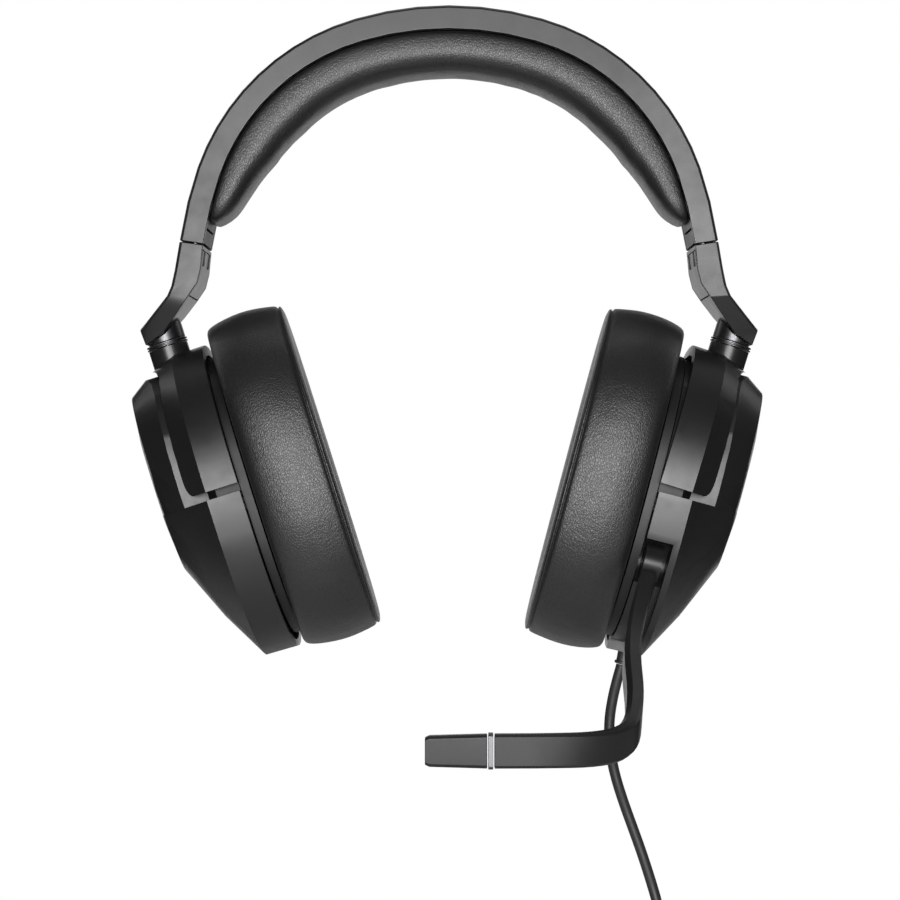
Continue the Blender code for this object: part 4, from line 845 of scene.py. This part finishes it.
class HEADSET_OT_arms(bpy.types.Operator):
    """The sliding arms, their inner covers, posts and trim rings"""
    bl_idname = "headset.arms"
    bl_label = "Sliding arms"

    def execute(self, context):
        edge = context.scene.headset_plastic.edge
        for name, side in SIDES:
            body = f"{name}_arm"
            cover = moulding_of(f"{name}_arm_cover", f"{name}_arm_moulding", edge, 3)
            settle(cover, body, "band_plastic", f"{name}_arm_cover")
            plate = moulding_of(f"{name}_arm_inner_cover", f"{name}_arm_plate", edge * 0.6)
            settle(plate, body, "band_plastic", f"{name}_arm_inner_cover")
            barrel = moulding_of(f"{name}_pivot_barrel", f"{name}_post", edge * 0.5)
            settle(barrel, body, "dark_metal", f"{name}_pivot_barrel")
            strip = moulding_of(f"{name}_slider_strip", f"{name}_slider", 0.00012)
            settle(strip, body, "spring_steel", f"{name}_slider_strip")
            self.make_ring(name, side)
            self.make_index(name, side)
        return {"FINISHED"}

    def make_ring(self, name, side):
        """The trim ring with a groove round its middle."""
        ring = moulding_of(f"{name}_trim_ring", f"{name}_ring", 0.0)
        place = cup_place(side, tilted=False)
        centre = place @ Vector((POST_U, 0.0, (RING_LOW_W + RING_HIGH_W) / 2))
        axis = (place @ Vector((POST_U, 0.0, RING_HIGH_W)) - centre).normalized()
        slice_across(ring, centre, axis, (-RING_GROOVE_HALF, RING_GROOVE_HALF))
        for face in ring.data.polygons:
            out = face.center - centre
            run = out.dot(axis)
            flat = out - axis * run
            outside = flat.length > RING_BORE * MM and face.normal.dot(flat) > 0
            face.select = abs(run) < RING_GROOVE_HALF * MM and outside
        sink_selected(ring, RING_GROOVE_DEPTH, 0.00008)
        return settle(ring, f"{name}_arm", "bright_trim", f"{name}_trim_ring")

    def make_index(self, name, side):
        """Two short raised bars on the arm's inner face."""
        parts = []
        for y in INDEX_YS:
            bpy.ops.mesh.primitive_cube_add(size=1.0)
            bar = bpy.context.object
            bar.scale = [size * MM for size in INDEX_BAR]
            bpy.ops.object.transform_apply(location=False, rotation=False, scale=True)
            apply_modifier(bar, "BEVEL", width=0.00012, segments=2, limit_method="ANGLE")
            bar.location = (side * INDEX_X * MM, y * MM, INDEX_Z * MM)
            bar.rotation_euler = (0.0, -side * INDEX_LEAN, 0.0)
            parts.append(bar)
        marks = join_pieces(parts, f"{name}_index_bars")
        smooth(marks, 40.0)
        return settle(marks, f"{name}_arm", "inner_plastic")


# ================================================================ cups

SHADE_DROP_BELOW_FORK = 2.48                 # how far the painted shade on the shell reaches below the fork's end
# how far the painted shade under the fork reaches in past the fork's window
SHADE_PAST_WINDOW = 0.6


class HEADSET_OT_cups(bpy.types.Operator):
    """Cup shells, forks, baffles and what is inside them"""
    bl_idname = "headset.cups"
    bl_label = "Cups"

    def execute(self, context):
        edge = context.scene.headset_plastic.edge
        for name, side in SIDES:
            shell = moulding_of(f"{name}_cup_shell", f"{name}_shell", edge)
            settle(shell, f"{name}_cup", "cup_plastic", f"{name}_cup_shell")
            self.paint_shade_under_fork(shell, side)
            fork = blank_of(f"{name}_fork", f"{name}_yoke_fork")
            self.round_fork_ends(fork, side)
            round_edges(fork, edge)
            settle(fork, f"{name}_yoke", "cup_plastic", f"{name}_fork")
            baffle = moulding_of(f"{name}_baffle", f"{name}_speaker_plate", edge * 0.7)
            settle(baffle, f"{name}_cup", "inner_plastic", f"{name}_baffle")
            scrim = moulding_of(f"{name}_scrim", f"{name}_speaker_cloth", edge * 0.6)
            settle(scrim, f"{name}_cup", "speaker_cloth", f"{name}_scrim")
            for node in ("swivel_pin", "front_pivot_pin", "rear_pivot_pin"):
                pin = moulding_of(f"{name}_{node}", f"{name}_{node}_turned", 0.00015)
                settle(pin, f"{name}_yoke", "spring_steel", f"{name}_{node}")
            for node, slot in (("driver_frame", "dark_metal"), ("driver_magnet", "dark_metal"),
                               ("diaphragm", "cone_film"), ("baffle_screw_1", "spring_steel"),
                               ("baffle_screw_2", "spring_steel")):
                dress(f"{name}_{node}", slot)
        dress("circuit_board", "circuit_board")
        dress("volume_pot", "dark_metal")
        wheel = moulding_of("volume_wheel", "thumb_wheel", 0.0001)
        settle(wheel, "volume_wheel", "wheel_plastic", "volume_wheel")
        return {"FINISHED"}

    def round_fork_ends(self, fork, side):
        """Round the lower corners of the fork's window."""
        place = cup_place(side, tilted=False)
        for front in (-1.0, 1.0):
            y0, w0, radius = WINDOW_HALF_Y, FORK_END_W, FORK_CORNER
            outline = [(y0 - 1.0, w0 + radius), (y0 - 1.0, w0 - 1.0), (y0 + radius, w0 - 1.0)]
            outline += [(y0 + radius * (1 - math.sin(turn)), w0 + radius * (1 - math.cos(turn)))
                        for turn in (math.pi / 2 * k / 10 for k in range(11))]
            cutter = skin("corner_cutter", [[place @ Vector((u, y * front, w)) for y, w in outline]
                                            for u in (15.0, 45.0)])
            apply_modifier(fork, "BOOLEAN", object=cutter, operation="DIFFERENCE", solver="EXACT")
            bpy.data.objects.remove(cutter)

    def paint_shade_under_fork(self, shell, side):
        """Painted shade under the fork: the shell takes the darker, rougher inner finish where the fork lies
        over it.
        """
        into_cup = cup_place(side).inverted()
        # painted shade: the second slot is the darker inner finish, given to the shell's faces under the
        # fork
        shell.data.materials.append(finish("inner_plastic"))
        for face in shell.data.polygons:
            _, y, w = into_cup @ face.center
            if w > FORK_END_W - SHADE_DROP_BELOW_FORK and abs(y) > WINDOW_HALF_Y - SHADE_PAST_WINDOW:
                face.material_index = 1


# ================================================================ ear cushions

# the cushion's section: u in mm, then how far in from its outer outline, in mm
CUSHION_SECTION = (
    (9.0, 7.0), (9.0, 4.4), (8.6, 2.8), (7.7, 1.5), (6.3, 0.6), (3.0, -0.35), (-1.0, -0.8), (-5.0, -0.6),
    (-8.5, 0.0), (-10.6, 0.4), (-11.3, 0.7), (-11.6, 1.2), (-11.75, 1.5), (-11.95, 1.15), (-12.25, 0.95),
    (-12.6, 1.1), (-12.85, 1.6), (-12.95, 2.2), (-13.1, 2.5), (-13.25, 3.5), (-13.3, 6.0), (-13.2, 11.0),
    (-12.5, 15.5), (-10.8, 18.6), (-7.0, 20.2), (-1.0, 20.7), (5.0, 20.5), (8.0, 19.4), (8.9, 17.0),
    (9.0, 12.0),
)
CUSHION_POWER = 2.5
CUSHION_COUNT = 168
FRONT_PROUD = 1.7                  # the inner face stands out further at the front than at the rear
REAR_BACK = 0.7
RIM_INSET = 4.4                    # what lies further in than this stays clear of the fork


class HEADSET_OT_cushions(bpy.types.Operator):
    """The leatherette ear cushions with their piped seam"""
    bl_idname = "headset.cushions"
    bl_label = "Ear cushions"

    def execute(self, context):
        cushion = context.scene.headset_cushion
        half_w, half_y = cushion.height / MM, cushion.depth / MM
        lean = cushion.bulge / MM
        for name, side in SIDES:
            place = cup_place(side)
            rings = []
            for k in range(CUSHION_COUNT):
                turn = 2 * math.pi * k / CUSHION_COUNT
                c, s = math.cos(turn), math.sin(turn)
                wide = math.copysign(abs(c) ** (2 / CUSHION_POWER), c)
                tall = math.copysign(abs(s) ** (2 / CUSHION_POWER), s)
                ring = []
                for u, inset in CUSHION_SECTION:
                    if inset < RIM_INSET and u > 0:
                        u += lean * tall ** 4 * min(1.0, u / 8.0) * min(1.0, (RIM_INSET - inset) / 2.4)
                    if u < 0:
                        ahead = 0.5 - 0.5 * side * wide
                        u += (REAR_BACK - (REAR_BACK + FRONT_PROUD) * ahead) * min(1.0, -u / 10.0)
                    inset += self.wrinkle(turn, u, inset, side)
                    ring.append(place @ Vector((u, (half_y - inset) * wide, (half_w - inset) * tall)))
                rings.append(ring)
            pad = skin(f"{name}_cushion", rings, closed=True)
            apply_modifier(pad, "SUBSURF", levels=1, render_levels=1)
            smooth(pad, 80.0)
            settle(pad, f"{name}_cup", "leatherette", f"{name}_ear_cushion")
        return {"FINISHED"}

    def wrinkle(self, turn, u, inset, side):
        """Small gathers where the side panel meets the seam, and slow unevenness everywhere."""
        here = Vector((math.cos(turn) * 3.0, math.sin(turn) * 3.0, u * 0.12 + side * 5.0))
        slow = 0.28 * noise.noise(here)
        if inset > 6.0 or u < -9.0 or u > 2.0:
            return slow * 0.6
        near_seam = max(0.0, 1.0 - (u + 9.0) / 7.0)
        quick = noise.noise(Vector((math.cos(turn) * 22.0, math.sin(turn) * 22.0, side * 9.0)))
        return slow + 0.30 * near_seam * quick


# ================================================================ microphone

class HEADSET_OT_microphone(bpy.types.Operator):
    """The flip-up boom and its microphone"""
    bl_idname = "headset.microphone"
    bl_label = "Microphone"

    def execute(self, context):
        edge = context.scene.headset_plastic.edge
        for node, name, slot, width in (("mic_hub", "boom_hub", "boom_plastic", edge),
                                        ("boom_arm", "boom_strip", "boom_plastic", edge * 0.7),
                                        ("boom_ring", "boom_trim", "bright_trim", 0.00012),
                                        ("mic_housing", "microphone_body", "boom_plastic", edge * 0.8),
                                        ("mic_capsule", "microphone_capsule", "dark_metal", 0.0001)):
            piece = moulding_of(node, name, width)
            settle(piece, "mic_boom", slot, node)
        return {"FINISHED"}


# ================================================================ panel and registration

OPERATORS = (HEADSET_OT_stage, HEADSET_OT_cord, HEADSET_OT_headband, HEADSET_OT_band_pad,
             HEADSET_OT_arms, HEADSET_OT_cups, HEADSET_OT_cushions, HEADSET_OT_microphone)
GROUPS = (("headset_leather", HeadsetLeather), ("headset_plastic", HeadsetPlastic),
          ("headset_cushion", HeadsetCushion), ("headset_cord", HeadsetCord),
          ("headset_stage", HeadsetStage))


class HEADSET_PT_panel(bpy.types.Panel):
    """Sizes, colours and pieces of the headset"""
    bl_label = "Headset"
    bl_idname = "HEADSET_PT_panel"
    bl_space_type = "VIEW_3D"
    bl_region_type = "UI"
    bl_category = "Headset"

    def draw(self, context):
        for operator in OPERATORS:
            self.layout.operator(operator.bl_idname)
        for name, group in GROUPS:
            box = self.layout.box()
            for key in group.__annotations__:
                box.prop(getattr(context.scene, name), key)


def register():
    for name, group in GROUPS:
        bpy.utils.register_class(group)
        setattr(bpy.types.Scene, name, bpy.props.PointerProperty(type=group))
    for operator in OPERATORS:
        bpy.utils.register_class(operator)
    bpy.utils.register_class(HEADSET_PT_panel)


def unregister():
    bpy.utils.unregister_class(HEADSET_PT_panel)
    for operator in reversed(OPERATORS):
        bpy.utils.unregister_class(operator)
    for name, group in reversed(GROUPS):
        delattr(bpy.types.Scene, name)
        bpy.utils.unregister_class(group)


def main():
    register()
    bpy.ops.headset.stage()
    bpy.ops.headset.cord()
    bpy.ops.headset.headband()
    bpy.ops.headset.band_pad()
    bpy.ops.headset.arms()
    bpy.ops.headset.cups()
    bpy.ops.headset.cushions()
    bpy.ops.headset.microphone()


if __name__ == "__main__":
    main()
